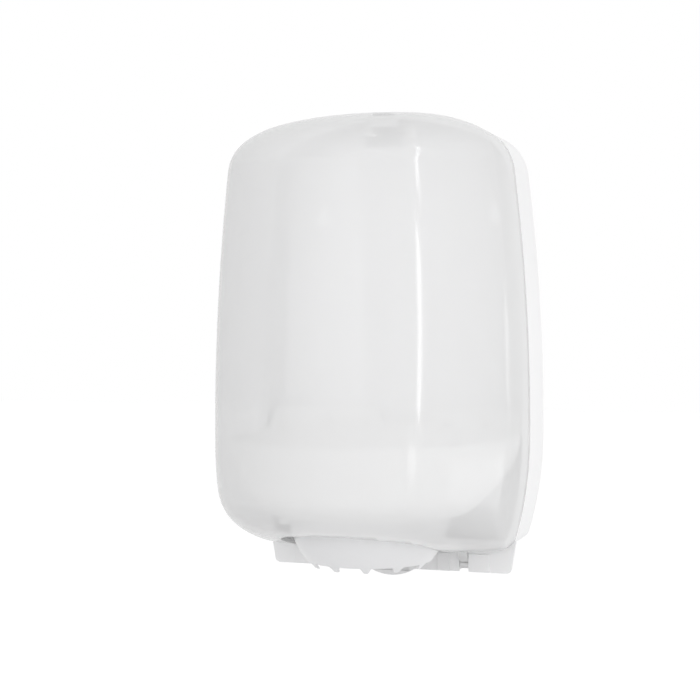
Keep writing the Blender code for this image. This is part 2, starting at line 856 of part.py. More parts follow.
def ring_screw_places():
    places = []
    for number in range(ring_screw_count):
        angle = math.pi * (2 * number + 1) / ring_screw_count
        x = ring_screw_circle * math.cos(angle)
        places.append((x, ring_screw_circle * math.sin(angle) - nozzle_depth))
    return places


def crown_outer_radius(height):
    """Outside of the mouthpiece, which is the lower part of a ball."""
    return math.sqrt(crown_radius**2 - (crown_centre_height - height) ** 2)


def tooth_angles():
    """Angles round the mouthpiece, with the lower edge's share of a tooth's length at each."""
    pitch = 2 * math.pi / tooth_count
    edge_radius = crown_outer_radius(crown_edge_height)
    root = tooth_root_width / edge_radius / 2
    tip = tooth_tip_width / edge_radius / 2
    places = []
    for number in range(tooth_count):
        middle = -math.pi / 2 + pitch * (2 * number + 1) / 2
        places += [(middle - pitch / 2, 0.0), (middle - root, 0.0), (middle - tip, 1.0)]
        places += [(middle + tip, 1.0), (middle + root, 0.0)]
    return places


def make_crown(parent, material):
    flange_foot = tray_floor_height + gap
    flange_top = flange_foot + crown_flange
    sweep = math.asin((crown_centre_height - crown_edge_height) / crown_radius)
    heights = [flange_foot]
    for step in range(1, crown_steps + 1):
        heights.append(crown_centre_height - crown_radius * math.sin(sweep * step / crown_steps))
    sections = []
    for angle, tooth_share in tooth_angles():
        edge_height = crown_edge_height - max(tooth_length * tooth_share, gap / 2)
        outside = [(crown_outer_radius(h), h) for h in heights + [edge_height]]
        inside = [(radius - crown_wall, height) for radius, height in reversed(outside)]
        inside[-1] = (crown_radius - crown_wall, flange_top)
        flange = [(crown_flange_radius, flange_top), (crown_flange_radius, flange_foot)]
        section = np.array(flange + outside + inside)
        x = section[:, 0] * math.cos(angle)
        y = section[:, 0] * math.sin(angle) - nozzle_depth
        sections.append(np.column_stack((x, y, section[:, 1])))
    crown = make_lofted("nozzle_crown", sections, parent, material, (0.0, -nozzle_depth, 0.0),
                        around=True)
    for number, (x, y) in enumerate(ring_screw_places()):
        cut(crown, make_rod(f"crown_hole_{number}", (x, y, flange_foot - overrun),
                            (x, y, flange_top + overrun), screw_radius + gap, parent, sides=screw_sides))
    return crown


def funnel_flange_foot():
    return tray_floor_height + gap + crown_flange + gap


def make_funnel(parent, material):
    """Turned funnel: flat flange, short guide inside the crown, cone and throat."""
    foot = funnel_flange_foot()
    top = foot + funnel_flange
    guide = crown_radius - crown_wall - running_gap
    throat_end = throat_top_height - throat_length
    outer_throat = throat_radius + funnel_wall
    profile = [
        (funnel_flange_radius, top),
        (funnel_flange_radius, foot),
        (guide, foot),
        (guide, foot - funnel_guide_length),
        (outer_throat, throat_top_height - funnel_wall / 2),
        (outer_throat, throat_end),
        (throat_radius, throat_end),
        (throat_radius, throat_top_height),
        (guide - funnel_wall, foot - funnel_guide_length + funnel_wall),
        (guide - funnel_wall / 2, top),
    ]
    return make_turned("feed_funnel", profile, (0.0, -nozzle_depth), parent, material, sides=funnel_sides)


def ring_top_height():
    return funnel_flange_foot() + funnel_flange + gap + ring_thickness


def make_ring(parent, material):
    """Retaining ring: a foot on the crown's flange and a lip over the funnel's."""
    foot = funnel_flange_foot()
    under_lip = foot + funnel_flange + gap
    top = ring_top_height()
    foot_inner = funnel_flange_radius + running_gap
    lip_inner = funnel_flange_radius - ring_overlap
    profile = [
        (crown_flange_radius, top - ring_thickness / 2),
        (crown_flange_radius, foot),
        (foot_inner, foot),
        (foot_inner, under_lip),
        (lip_inner, under_lip),
        (lip_inner, top),
        (crown_flange_radius - ring_thickness / 2, top),
    ]
    ring = make_turned("retaining_ring", profile, (0.0, -nozzle_depth), parent, material,
                       sides=funnel_sides)
    for number, (x, y) in enumerate(ring_screw_places()):
        cut(ring, make_rod(f"ring_hole_{number}", (x, y, foot - overrun), (x, y, top + overrun),
                           screw_radius + gap, parent, sides=screw_sides))
    return ring


# Fasteners and pins

def make_screw(name, seat, direction, length, parent, material, head_radius=screw_head_radius):
    """Pan-head screw: the head's flat underside lies at seat, the shank runs along direction."""
    head_start = -screw_head_height
    profile = [
        (0.0, length),
        (screw_radius, length - screw_radius),
        (screw_radius, 0.0),
        (head_radius, 0.0),
    ]
    for radius_share, height_share in screw_head_shares:
        profile.append((head_radius * radius_share, head_start * height_share))
    profile.append((0.0, head_start))
    turn = Vector(direction).to_track_quat("Z", "X").to_matrix()
    angles = np.linspace(0.0, 2 * math.pi, screw_sides, endpoint=False)
    rings = []
    for radius, along in profile:
        local = [Vector((radius * math.cos(a), radius * math.sin(a), along)) for a in angles]
        rings.append(np.array([Vector(seat) + turn @ point for point in local]))
    points = np.concatenate(rings)
    faces = ring_faces(len(rings), screw_sides, caps=False)
    return make_object(name, points, faces, parent, material, seat)


def make_tray_screws(parent, material):
    number = 0
    for share in tray_screw_shares:
        for side in (-1, 1):
            number += 1
            x = side * tray_half_width * share
            seat_depth = tray_rear_depth(abs(x) + screw_head_radius) + gap
            make_screw(f"tray_screw_{number}", (x, -seat_depth, tray_screw_height), (0, 1, 0),
                       seat_depth - plate_thickness, parent, material)


def make_ring_screws(parent, material):
    top = ring_top_height() + gap
    length = top - (tray_floor_height - tray_wall - ring_boss_length + embed + gap)
    for number, (x, y) in enumerate(ring_screw_places()):
        make_screw(f"ring_screw_{number + 1}", (x, y, top), (0, 0, -1), length, parent, material)


def make_keeper_screws(parent, material):
    seat_y = -(shell_depth + gap + keeper_thickness + gap)
    for name, side in (("left", -1), ("right", 1)):
        seat = (side * keeper_screw_spacing / 2, seat_y, keeper_screw_height())
        make_screw(f"keeper_screw_{name}", seat, (0, 1, 0), keeper_thickness + 2 * gap + screw_bite,
                   parent, material)


def make_hinge_pins(parent, material):
    for name, side in (("left", -1), ("right", 1)):
        inner = side * (inner_lug[0] + gap)
        outer = side * (outer_lug[1] - pin_end_wall - gap)
        ends = sorted((inner, outer))
        axis = (-hinge_depth, hinge_height)
        make_rod(f"hinge_pin_{name}", (ends[0], *axis), (ends[1], *axis), pin_radius, parent, material,
                 pivot=(inner, *axis))


# Lock

def make_lock_barrel(parent, material, pivot):
    seat = lock_seat_height() + gap
    tang_end = barrel_end_height() - cam_thickness / 2
    flange_radius = lock_recess_radius - gap
    profile = [
        (0.0, barrel_end_height()),
        (barrel_radius, barrel_end_height()),
        (barrel_radius, seat),
        (flange_radius, seat),
        (flange_radius, seat + barrel_flange - barrel_bevel),
        (flange_radius - barrel_bevel, seat + barrel_flange),
        (0.0, seat + barrel_flange),
    ]
    angles = np.linspace(0.0, 2 * math.pi, 2 * small_sides, endpoint=False)
    rings = []
    for radius, height in profile:
        x = radius * np.cos(angles)
        y = radius * np.sin(angles) - lock_depth
        rings.append(np.column_stack((x, y, np.full(len(angles), height))))
    points = np.concatenate(rings)
    faces = ring_faces(len(rings), len(angles), caps=False)
    barrel = make_object("lock_barrel", points, faces, parent, material, pivot)
    join(barrel, make_block("tang", (-tang_half_width, -lock_depth - tang_half_width, tang_end),
                            (tang_half_width, -lock_depth + tang_half_width,
                             barrel_end_height() + embed), parent))
    cut(barrel, make_block("key_slot",
                           (-key_slot_half_length, -lock_depth - key_slot_half_width,
                            seat + barrel_flange - key_slot_depth),
                           (key_slot_half_length, -lock_depth + key_slot_half_width,
                            seat + barrel_flange + overrun), parent))
    cut(barrel, make_rod("tang_bore", (0.0, -lock_depth, tang_end - overrun),
                         (0.0, -lock_depth, barrel_end_height() + screw_bite), screw_radius + gap,
                         parent, sides=screw_sides))
    return barrel


def make_lock_nut(parent, material):
    """Round nut under the cover's boss, with two flats."""
    foot = lock_nut_foot()
    top = foot + nut_thickness
    inner = barrel_radius + gap
    profile = [(nut_radius, top), (nut_radius, foot), (inner, foot), (inner, top)]
    return make_turned("lock_nut", profile, (0.0, -lock_depth), parent, material, sides=nut_sides)


def polar_arc(radius, first, last, steps):
    angles = np.radians(np.linspace(first, last, steps))
    return np.column_stack((radius * np.cos(angles), radius * np.sin(angles)))


def cam_outline(outer):
    """Plan of the cam, unlocked: a hook towards +X and a plain lobe towards -X."""
    arm_first, arm_last, hook_end = -47, -17, 43
    lobe_first, lobe_last = 150, 205
    outline = np.concatenate((
        polar_arc(outer, arm_first, hook_end, 9),
        polar_arc(cam_hook_inner_radius, hook_end, arm_last, 7),
        polar_arc(cam_hub_radius, arm_last, lobe_first, 9),
        polar_arc(outer, lobe_first, lobe_last, 6),
        polar_arc(cam_hub_radius, lobe_last, 360 + arm_first, 6),
    ))
    return outline


def make_cam(parent, material, pivot):
    top = lock_cam_top()
    foot = top - cam_thickness
    rings = []
    for height, outer in ((foot, cam_hook_radius - cam_draft), (top, cam_hook_radius)):
        outline = cam_outline(outer)
        y = outline[:, 1] - lock_depth
        rings.append(np.column_stack((outline[:, 0], y, np.full(len(outline), height))))
    cam = make_lofted("lock_cam", rings, parent, material, pivot)
    socket = tang_half_width + gap
    socket_foot = barrel_end_height() - cam_thickness / 2 - gap
    cut(cam, make_block("cam_socket", (-socket, -lock_depth - socket, socket_foot),
                        (socket, -lock_depth + socket, top + overrun), parent))
    cut(cam, make_rod("cam_hole", (0.0, -lock_depth, foot - overrun), (0.0, -lock_depth, top),
                      screw_radius + gap, parent, sides=screw_sides))
    return cam


def make_cam_screw(parent, material):
    foot = lock_cam_top() - cam_thickness - gap
    make_screw("cam_screw", (0.0, -lock_depth, foot), (0, 0, 1), cam_thickness + screw_bite / 2,
               parent, material, head_radius=cam_screw_head_radius)


def build():
    clear_scene()
    white = make_material("white_shell", (0.86, 0.86, 0.86), 0.35)
    milky = make_material("milky_cover", (0.90, 0.90, 0.91), 0.18, alpha=0.55)
    inner_white = make_material("inner_white", (0.88, 0.88, 0.87), 0.40)
    grey = make_material("lock_grey", (0.32, 0.33, 0.34), 0.45)
    steel = make_material("zinc_steel", (0.62, 0.62, 0.60), 0.32, metallic=1.0)

    level = make_empty("skirt_level", (0.0, 0.0, -origin_height))
    make_back_shell(level, white)
    make_tray(level, inner_white)
    make_crown(level, white)
    make_ring(level, inner_white)
    make_keeper(level, steel)
    make_tray_screws(level, steel)
    make_ring_screws(level, steel)
    make_keeper_screws(level, steel)
    make_hinge_pins(level, steel)

    make_funnel(level, inner_white)

    hinge = (0.0, -hinge_depth, hinge_height)
    make_cover(level, milky, hinge)
    make_lock_nut(level, grey)

    lock = (0.0, -lock_depth, barrel_end_height())
    make_lock_barrel(level, grey, lock)
    make_cam(level, grey, lock)
    make_cam_screw(level, steel)


build()
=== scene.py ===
import math

import bmesh
import bpy
import numpy as np
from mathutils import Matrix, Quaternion, Vector


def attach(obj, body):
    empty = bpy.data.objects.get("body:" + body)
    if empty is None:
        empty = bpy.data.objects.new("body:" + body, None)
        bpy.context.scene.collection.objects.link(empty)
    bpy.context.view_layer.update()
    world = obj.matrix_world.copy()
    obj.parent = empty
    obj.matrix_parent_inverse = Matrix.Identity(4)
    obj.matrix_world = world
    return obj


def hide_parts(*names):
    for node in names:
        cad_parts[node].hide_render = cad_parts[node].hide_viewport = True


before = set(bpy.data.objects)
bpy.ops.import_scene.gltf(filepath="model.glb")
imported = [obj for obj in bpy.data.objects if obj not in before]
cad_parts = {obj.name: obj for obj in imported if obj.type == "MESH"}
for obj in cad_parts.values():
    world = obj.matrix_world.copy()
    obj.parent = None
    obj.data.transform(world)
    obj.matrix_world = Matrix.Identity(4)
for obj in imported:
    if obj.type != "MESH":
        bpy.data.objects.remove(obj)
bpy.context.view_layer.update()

# Camera. The dispenser hangs at eye height and is seen from 17 degrees to its right, from a
# little over a metre. Everything is in metres; X runs to the right and Y back into the wall.

view_angle = math.radians(17)
view_distance = 1.270
eye_height = 0.0095
photo_size = 700
focal_length = 1454  # in the photograph's own dots
axis_across, axis_down = 409, 318  # where the camera's axis meets the photograph

camera = bpy.data.objects.new("camera", bpy.data.cameras.new("camera"))
camera.location = (view_distance * math.sin(view_angle), -view_distance * math.cos(view_angle), eye_height)
camera.rotation_euler = (math.pi / 2, 0, view_angle)
camera.data.sensor_width = 36
camera.data.lens = camera.data.sensor_width * focal_length / photo_size
camera.data.shift_x = (photo_size / 2 - axis_across) / photo_size
camera.data.shift_y = (axis_down - photo_size / 2) / photo_size
bpy.context.collection.objects.link(camera)
bpy.context.scene.camera = camera
bpy.context.scene.view_settings.view_transform = "Standard"


# Light. A white room gives soft light all round, more of it from the right and the front. A broad
# soft box stands in front and a low one to the right, narrow strips make the long highlights down
# the cover, and a small patch carries the longest of them over the chin.

middle_depth = 0.1  # from the wall to the dispenser's middle
lowest_aim, highest_aim = -0.15, 0.2


def soft_box(name, bearing, distance, height, width, length, power, lean=0.0):
    """A flat lamp at a bearing to the right of the dispenser's front, measured from its middle
    and turned towards it; lean tips its upper end further round to the right."""
    lamp = bpy.data.lights.new(name, "AREA")
    lamp.shape = "RECTANGLE"
    lamp.size = width
    lamp.size_y = length
    lamp.energy = power
    box = bpy.data.objects.new(name, lamp)
    turn = math.radians(bearing)
    place = Vector((distance * math.sin(turn), -middle_depth - distance * math.cos(turn), height))
    box.location = place
    aim = Vector((0, -middle_depth, np.clip(height, lowest_aim, highest_aim))) - place
    tip = Quaternion((0, 0, 1), -math.radians(lean))
    box.rotation_euler = (aim.to_track_quat("-Z", "Y") @ tip).to_euler()
    bpy.context.collection.objects.link(box)


# Each line gives bearing, distance, height, width, length and power.
soft_box("key_box", -13, 1.9, 0.45, 2.1, 1.3, 8.5)
soft_box("low_box", 108, 0.85, -0.33, 1.10, 0.26, 0.85)
soft_box("front_strip", 54.0, 1.5, 0.052, 0.058, 0.43, 0.9, lean=22.7)
soft_box("shoulder_strip", 62.6, 1.5, 0.54, 0.058, 0.41, 0.8, lean=12.6)
soft_box("brow_strip", 74.4, 1.192, 1.291, 0.060, 1.39, 2.2, lean=26.3)
soft_box("chin_patch", 46.5, 1.5, -0.255, 0.150, 0.110, 0.14)
soft_box("side_strip", 152, 1.5, -0.015, 0.18, 0.26, 0.09, lean=35)


def feed(tree, made, links):
    """Fills a node's inputs: links are (output or plain value, name or number of the input)."""
    for source, target in links:
        if isinstance(source, bpy.types.NodeSocket):
            tree.links.new(source, made.inputs[target])
        else:
            made.inputs[target].default_value = source


def node(tree, kind, links=(), **values):
    """A new node with its inputs fed and its settings and other inputs set by name."""
    made = tree.nodes.new("ShaderNode" + kind)
    for label, value in values.items():
        if hasattr(made, label):
            setattr(made, label, value)
        else:
            made.inputs[label.replace("_", " ").title()].default_value = value
    feed(tree, made, links)
    return made


def open_sight(tree):
    """One for rays from the eye and for what mirrors and glass show, as long as they have crossed
    no more than one see-through face, and nought for all others."""
    rays = node(tree, "LightPath").outputs
    mirrored = node(tree, "Math", [(rays["Is Camera Ray"], 0), (rays["Is Glossy Ray"], 1)],
                    operation="MAXIMUM")
    seen = node(tree, "Math", [(mirrored.outputs[0], 0), (rays["Is Transmission Ray"], 1)],
                operation="MAXIMUM")
    faces_crossed = 1.5  # between one and two
    straight = node(tree, "Math", [(rays["Transparent Depth"], 0), (faces_crossed, 1)],
                    operation="LESS_THAN")
    sight = node(tree, "Math", [(seen.outputs[0], 0), (straight.outputs[0], 1)], operation="MULTIPLY")
    return sight.outputs[0]


room = bpy.context.scene.world or bpy.data.worlds.new("room")
bpy.context.scene.world = room
room.use_nodes = True
tree = room.node_tree
tree.nodes.clear()
place = node(tree, "TexCoord").outputs["Generated"]
brighter_towards = (0.26, -0.17, 0.06)  # right, front and above
half_way_level = 0.72
slope = node(tree, "VectorMath", [(place, 0), (brighter_towards, 1)], operation="DOT_PRODUCT")
soft = node(tree, "Math", [(slope.outputs["Value"], 0), (half_way_level, 1)])
level = node(tree, "MapRange", [(soft.outputs[0], "To Min"), (open_sight(tree), "Value")], to_max=1.0)
glow = node(tree, "Background", [(level.outputs[0], "Strength"), ((1, 1, 1, 1), "Color")])
node(tree, "OutputWorld", [(glow.outputs[0], "Surface")])


# Floor. A plain pale sheet well below the dispenser, lifted to white for the eye alone, so that
# it keeps the soft shadow.

floor_level = -0.46
floor_reach = 6.0
floor_grey = 0.76
floor_lift = 0.44
floor_roughness = 0.9
sheet = bpy.data.meshes.new("floor")
sheet.from_pydata([(-floor_reach, -floor_reach, floor_level), (floor_reach, -floor_reach, floor_level),
                   (floor_reach, floor_reach, floor_level), (-floor_reach, floor_reach, floor_level)],
                  [], [(0, 1, 2, 3)])
floor = bpy.data.objects.new("floor", sheet)
bpy.context.collection.objects.link(floor)


def blank_material(name):
    """A new material, its node tree and its Principled shader."""
    material = bpy.data.materials.new(name)
    material.use_nodes = True
    return material, material.node_tree, material.node_tree.nodes["Principled BSDF"]


paper, tree, shader = blank_material("paper_floor")
lift = node(tree, "Math", [(open_sight(tree), 0), (floor_lift, 1)], operation="MULTIPLY")
feed(tree, shader, [((floor_grey, floor_grey, floor_grey, 1), "Base Color"),
                    (floor_roughness, "Roughness"), (0.0, "Specular IOR Level"),
                    ((1, 1, 1, 1), "Emission Color"), (lift.outputs[0], "Emission Strength")])
sheet.materials.append(paper)


# Back shell. One injection moulding in white ABS, screwed flat to the wall: back plate with two
# keyholes and two round holes, side walls up to the seam, a thin lip that the cover closes over,
# and a skirt below with ribs behind it and bored lugs for the hinge.

skirt_level = -0.200  # lower edge of the skirt; heights below are taken from it
overall_width = 0.239
overall_depth = 0.231
shell_height = 0.3805
shell_depth = 0.053
shell_wall = 0.0025
plate_thickness = 0.003
widest_height = 0.125
roof_fall = 0.0373
roof_radius = ((overall_width / 2) ** 2 + roof_fall**2) / (2 * roof_fall)
shoulder_radius = 0.041
side_radius = 1.64
lower_side_height = 0.110
lower_side_radius = 0.296
heel_radius = 0.011
floor_height = 0.0155
floor_radius = 0.800
roof_slope = 0.101
brow_share = 0.8427
brow_length = brow_share * (overall_depth - shell_depth)
brow_drop = 0.039
cover_wall = 0.0025
closing_gap = 0.0006  # between the lip and the cover's wall
seam_gap = 0.00005  # between the shell's edge and the cover's
gap = 0.0003  # between pieces that seat on each other
overrun = 0.004  # by which a cut passes the face that it opens in
sunk = 0.0015  # depth to which a boss or rib is let into its wall
lap = 0.001  # by which one shape runs into the next
blind_floor = 0.0015  # what a blind hole leaves at its end


def crossing(centre_a, reach_a, centre_b, reach_b, side):
    """The point at one distance from one centre and at another from a second centre."""
    across = np.subtract(centre_b, centre_a)
    distance = np.hypot(*across)
    along = (distance**2 + reach_a**2 - reach_b**2) / (2 * distance)
    off = side * math.sqrt(reach_a**2 - along**2)
    unit = across / distance
    return np.asarray(centre_a) + along * unit + off * np.array((-unit[1], unit[0]))


def bearing(point, centre):
    """Angle at which a point of the outline lies round a centre."""
    return math.atan2(point[1] - centre[1], point[0] - centre[0])


def roof_line(depth):
    """Fall of the roof's crest: a plain slope, plus a quarter ellipse over the brow."""
    past = np.maximum(0.0, depth - (overall_depth - brow_length)) / brow_length
    return roof_slope * (depth - shell_depth) + brow_drop * (1 - np.sqrt(1 - past**2))


def all_round(count):
    """Angles in equal steps round a full circle."""
    return np.linspace(0, 2 * math.pi, count, endpoint=False)


def polar(centre, radius, angles):
    """Points at a radius round a centre: the centre plus the radius times cosine and sine."""
    return np.asarray(centre) + radius * np.column_stack((np.cos(angles), np.sin(angles)))


def half_outline(inset):
    """Right half of the front outline: seven arcs that touch without a kink, each moved inwards
    by the inset along its own radius. Gives (x, height) from the top to the bottom."""
    roof = np.array((0.0, shell_height - roof_radius))
    side = np.array((overall_width / 2 - side_radius, widest_height))
    shoulder = crossing(roof, roof_radius - shoulder_radius, side, side_radius - shoulder_radius, -1)
    brow_end = shell_height - roof_line(overall_depth)
    brow = math.asin((brow_end - widest_height) / side_radius)
    turn = math.asin((lower_side_height - widest_height) / side_radius)
    low = side + (side_radius - lower_side_radius) * np.array((math.cos(turn), math.sin(turn)))
    under = np.array((0.0, floor_height + floor_radius))
    heel = crossing(under, floor_radius - heel_radius, low, lower_side_radius - heel_radius, 1)
    arcs = (
        (roof, roof_radius, math.pi / 2, bearing(shoulder, roof), 36),
        (shoulder, shoulder_radius, bearing(shoulder, roof), bearing(shoulder, side), 12),
        (side, side_radius, bearing(shoulder, side), brow, 4),
        (side, side_radius, brow, turn, 12),
        (low, lower_side_radius, turn, bearing(heel, low), 16),
        (heel, heel_radius, bearing(heel, low), bearing(heel, under), 6),
        (under, floor_radius, bearing(heel, under), -math.pi / 2, 18),
    )
    points = []
    for centre, radius, first, last, steps in arcs:
        points.append(polar(centre, radius - inset, np.linspace(first, last, steps, endpoint=False)))
    return np.concatenate(points + [np.array([(0.0, floor_height + inset)])])


def outline_ring(inset, depth):
    """The whole outline, mirrored about the middle, at one depth from the wall."""
    right = half_outline(inset)
    whole = np.concatenate((right, right[-2:0:-1] * (-1, 1)))
    return np.column_stack((whole[:, 0], np.full(len(whole), -depth), whole[:, 1]))


def rounded(line, radius, steps=3, closed=False):
    """A line with its corners rounded: each corner gives way to a short parabola between the
    points at the radius before and after it. Works on whole stacks of lines at once."""
    line = np.asarray(line, float)
    before, after = np.roll(line, 1, axis=-2) - line, np.roll(line, -1, axis=-2) - line
    reach = np.minimum(np.linalg.norm(before, axis=-1), np.linalg.norm(after, axis=-1))[..., None]
    cut = np.minimum(radius, 0.4 * reach)
    start = line + before / np.maximum(np.linalg.norm(before, axis=-1), 1e-9)[..., None] * cut
    end = line + after / np.maximum(np.linalg.norm(after, axis=-1), 1e-9)[..., None] * cut
    t = np.linspace(0, 1, steps + 1)[:, None]
    start, corner, end = start[..., None, :], line[..., None, :], end[..., None, :]
    curve = (1 - t) ** 2 * start + 2 * t * (1 - t) * corner + t**2 * end
    if closed:
        return curve.reshape(*line.shape[:-2], -1, line.shape[-1])
    middle = curve[..., 1:-1, :, :].reshape(*line.shape[:-2], -1, line.shape[-1])
    return np.concatenate((line[..., :1, :], middle, line[..., -1:, :]), axis=-2)


def solid(name, points, faces):
    """A closed body from points whose heights start at the skirt's lower edge."""
    points = np.asarray(points, float) + (0, 0, skirt_level)
    mesh = bpy.data.meshes.new(name)
    mesh.from_pydata(points.tolist(), [], faces)
    form = bmesh.new()
    form.from_mesh(mesh)
    bmesh.ops.remove_doubles(form, verts=form.verts, dist=1e-6)
    bmesh.ops.recalc_face_normals(form, faces=form.faces)
    form.to_mesh(mesh)
    form.free()
    piece = bpy.data.objects.new(name, mesh)
    bpy.context.collection.objects.link(piece)
    return piece


def lofted(name, rings, around=False):
    """Closed rings joined one to the next; around joins the last to the first, otherwise the two
    end rings are closed with a flat face each."""
    rings = np.asarray(rings, float)
    count, size = rings.shape[:2]
    row = np.arange(count if around else count - 1)[:, None]
    step = np.arange(size)[None, :]
    here, there = row * size, (row + 1) % count * size
    after = (step + 1) % size
    quads = np.stack((here + step, here + after, there + after, there + step), axis=-1).reshape(-1, 4)
    faces = quads.tolist()
    if not around:
        faces += [list(range(size))[::-1], list(range((count - 1) * size, count * size))]
    return solid(name, rings.reshape(-1, 3), faces)


def turned(name, profile, depth, sides=128):
    """A closed profile of (radius, height) carried round an upright axis in the middle plane."""
    angles = all_round(sides)[:, None]
    radius, height = np.asarray(profile, float).T[:, None, :]
    rings = np.stack((radius * np.cos(angles), radius * np.sin(angles) - depth, height + 0 * angles), axis=-1)
    return lofted(name, rings, around=True)


def pulled(name, outline, start, end, across, edge=0.0):
    """A flat outline pulled from start to end along one axis; edge gives both ends a chamfer."""
    outline = np.asarray(outline, float)
    middle = outline.mean(axis=0)
    shrink = 1 - edge / np.abs(outline - middle).max()
    ends = [(start, 1), (end, 1)]
    if edge:
        ends = [(start, shrink), (start + edge, 1), (end - edge, 1), (end, shrink)]
    others = [axis for axis in range(3) if axis != across]
    rings = np.zeros((len(ends), len(outline), 3))
    for ring, (reach, share) in zip(rings, ends):
        ring[:, others] = middle + (outline - middle) * share
        ring[:, across] = reach
    return lofted(name, rings)


def block(name, low, high, edge=0.0):
    """A box between its lowest and highest corners; edge rounds its upright edges."""
    corners = np.array([(low[0], low[1]), (high[0], low[1]), (high[0], high[1]), (low[0], high[1])])
    if edge:
        corners = rounded(corners, edge, closed=True)
    return pulled(name, corners, low[2], high[2], 2)


def slab(name, half_width, low, high):
    """A box across the middle plane between its lowest and highest (Y, height)."""
    return block(name, (-half_width, *low), (half_width, *high))


def span(side, near, far):
    """The lower and the higher X of a stretch on the left (-1) or the right (1)."""
    return sorted((side * near, side * far))


def circle(middle, radius, sides=48):
    """Points in equal steps on a full circle."""
    return polar(middle, radius, all_round(sides))


def bore(middle, start, end, across, radius, sides=32):
    """The round rod that a hole takes out, along one axis."""
    return pulled("bore", circle(middle, radius, sides), start, end, across)


def fused(piece, added=(), removed=()):
    """One body out of a blank, the shapes that grow out of it and the holes that go into it."""
    for shapes, operation in ((added, "UNION"), (removed, "DIFFERENCE")):
        if not shapes:
            continue
        gathered = bmesh.new()
        for shape in shapes:
            gathered.from_mesh(shape.data)
            bpy.data.objects.remove(shape)
        tool = bpy.data.objects.new("tool", bpy.data.meshes.new("tool"))
        gathered.to_mesh(tool.data)
        gathered.free()
        bpy.context.collection.objects.link(tool)
        step = piece.modifiers.new(operation.lower(), "BOOLEAN")
        step.operation = operation
        step.solver = "EXACT"
        step.use_self = True
        step.object = tool
        applied(piece)
        bpy.data.objects.remove(tool)


def applied(piece):
    """Turns what the modifiers make into the piece's own mesh."""
    depsgraph = bpy.context.evaluated_depsgraph_get()
    mesh = bpy.data.meshes.new_from_object(piece.evaluated_get(depsgraph))
    piece.modifiers.clear()
    piece.data = mesh


def finished(piece, material, edge=0.0, crease=38):
    """Shades a piece smoothly up to the crease angle, eases its sharp edges and dresses it."""
    piece.data.materials.clear()
    piece.data.materials.append(material)
    if edge:
        ease = piece.modifiers.new("ease", "BEVEL")
        ease.width = edge
        ease.segments = 2
        ease.limit_method = "ANGLE"
        ease.angle_limit = math.radians(50)
        ease.harden_normals = False
        applied(piece)
    piece.data.shade_smooth()
    piece.data.set_sharp_from_angle(angle=math.radians(crease))


def floor_surface(x):
    """Height of the shell's underside at a distance from the middle, on its arc."""
    return floor_height + floor_radius - math.sqrt(floor_radius**2 - x**2)


skirt_thickness = 0.003
skirt_top_height = 0.027
skirt_inset = 0.0115
skirt_taper = 0.0038
skirt_top_half_width = overall_width / 2 - skirt_inset
skirt_half_width = skirt_top_half_width - skirt_taper
skirt_corner = 0.005
rib_reach = 0.028
rib_thickness = 0.002
rib_foot, rib_top = 0.0025, 0.017
tab_half_width = 0.021
tab_drop = 0.006
tab_rise = 0.004
tab_slot_half_width = 0.016
tab_slot_back = 0.0493
tab_slot_foot, tab_slot_top = -0.002, 0.0025
relief_half_width = 0.0601
relief_front = 0.062
relief_gap = 0.0002
mouth_half_width = 0.026
mouth_front, mouth_back = 0.057, 0.039
mouth_top = 0.031
bulkhead_half_width = 0.022
bulkhead_thickness = 0.003
in_front = 0.060  # a depth in front of the whole shell
hinge_depth = 0.0475
hinge_height = 0.008
hinge = (-hinge_depth, hinge_height)
pin_radius = 0.0022
inner_lug = (0.0410, 0.0514)
outer_lug = (0.0676, 0.0855)
lug_foot = 0.001
lug_top = 0.015
lug_proud = 0.001
lug_front = shell_depth + lug_proud
lug_back = 0.0415
lug_edge = 0.0006
stop_gap = 0.0083
window_back, web_front, web_back = 0.0521, 0.0425, 0.0402
room_front, room_back = 0.054, 0.0418  # where the cover's knuckle turns
pin_end_wall = 0.0012
wall_hole_depth = 0.008
wall_hole_inset = 0.0415
wall_hole_x = overall_width / 2 - wall_hole_inset
keyhole_height = 0.305
keyhole_rise = 0.009
lower_hole_height = 0.168
wall_screw_radius = 0.00275
keyhole_head_radius = 0.0055
pad_radius = 0.010
pad_length = 0.0015
tray_half_width = 0.110
tray_screw_shares = (0.336, 0.636)
tray_screw_places = tuple(share * tray_half_width for share in tray_screw_shares)
tray_screw_height = 0.119
tray_rear_wall = 0.0085
tray_boss_radius = 0.005
tray_bore_end = 0.013
screw_radius = 0.0014
screw_hole = (screw_radius + gap, 24)
keeper_foot = 0.3604
keeper_screw_height = 0.3667
keeper_screw_x = 0.013
keeper_bore_front, keeper_bore_back = 0.057, 0.046

lip_taper = 0.0005
lip_thickness = 0.0022
lip_length = 0.005
lip_rooting = 0.007
lip_inset = cover_wall + closing_gap
lip_tip = lip_inset + lip_taper
lip_inner = lip_tip + lip_thickness
lip_end = shell_depth + lip_length
lip_root = shell_depth - lip_rooting
section = np.array([
    (0.0, 0.0),
    (0.0, shell_depth),
    (lip_inset, shell_depth),
    (lip_tip, lip_end),
    (lip_inner, lip_end),
    (lip_inner, lip_root),
    (shell_wall, lip_root - lip_inner + shell_wall),
    (shell_wall, plate_thickness),
])
section_round = 0.0011
edges = rounded(section, section_round, steps=4)
shell = lofted("back_shell_moulding", [outline_ring(inset, depth) for inset, depth in edges])

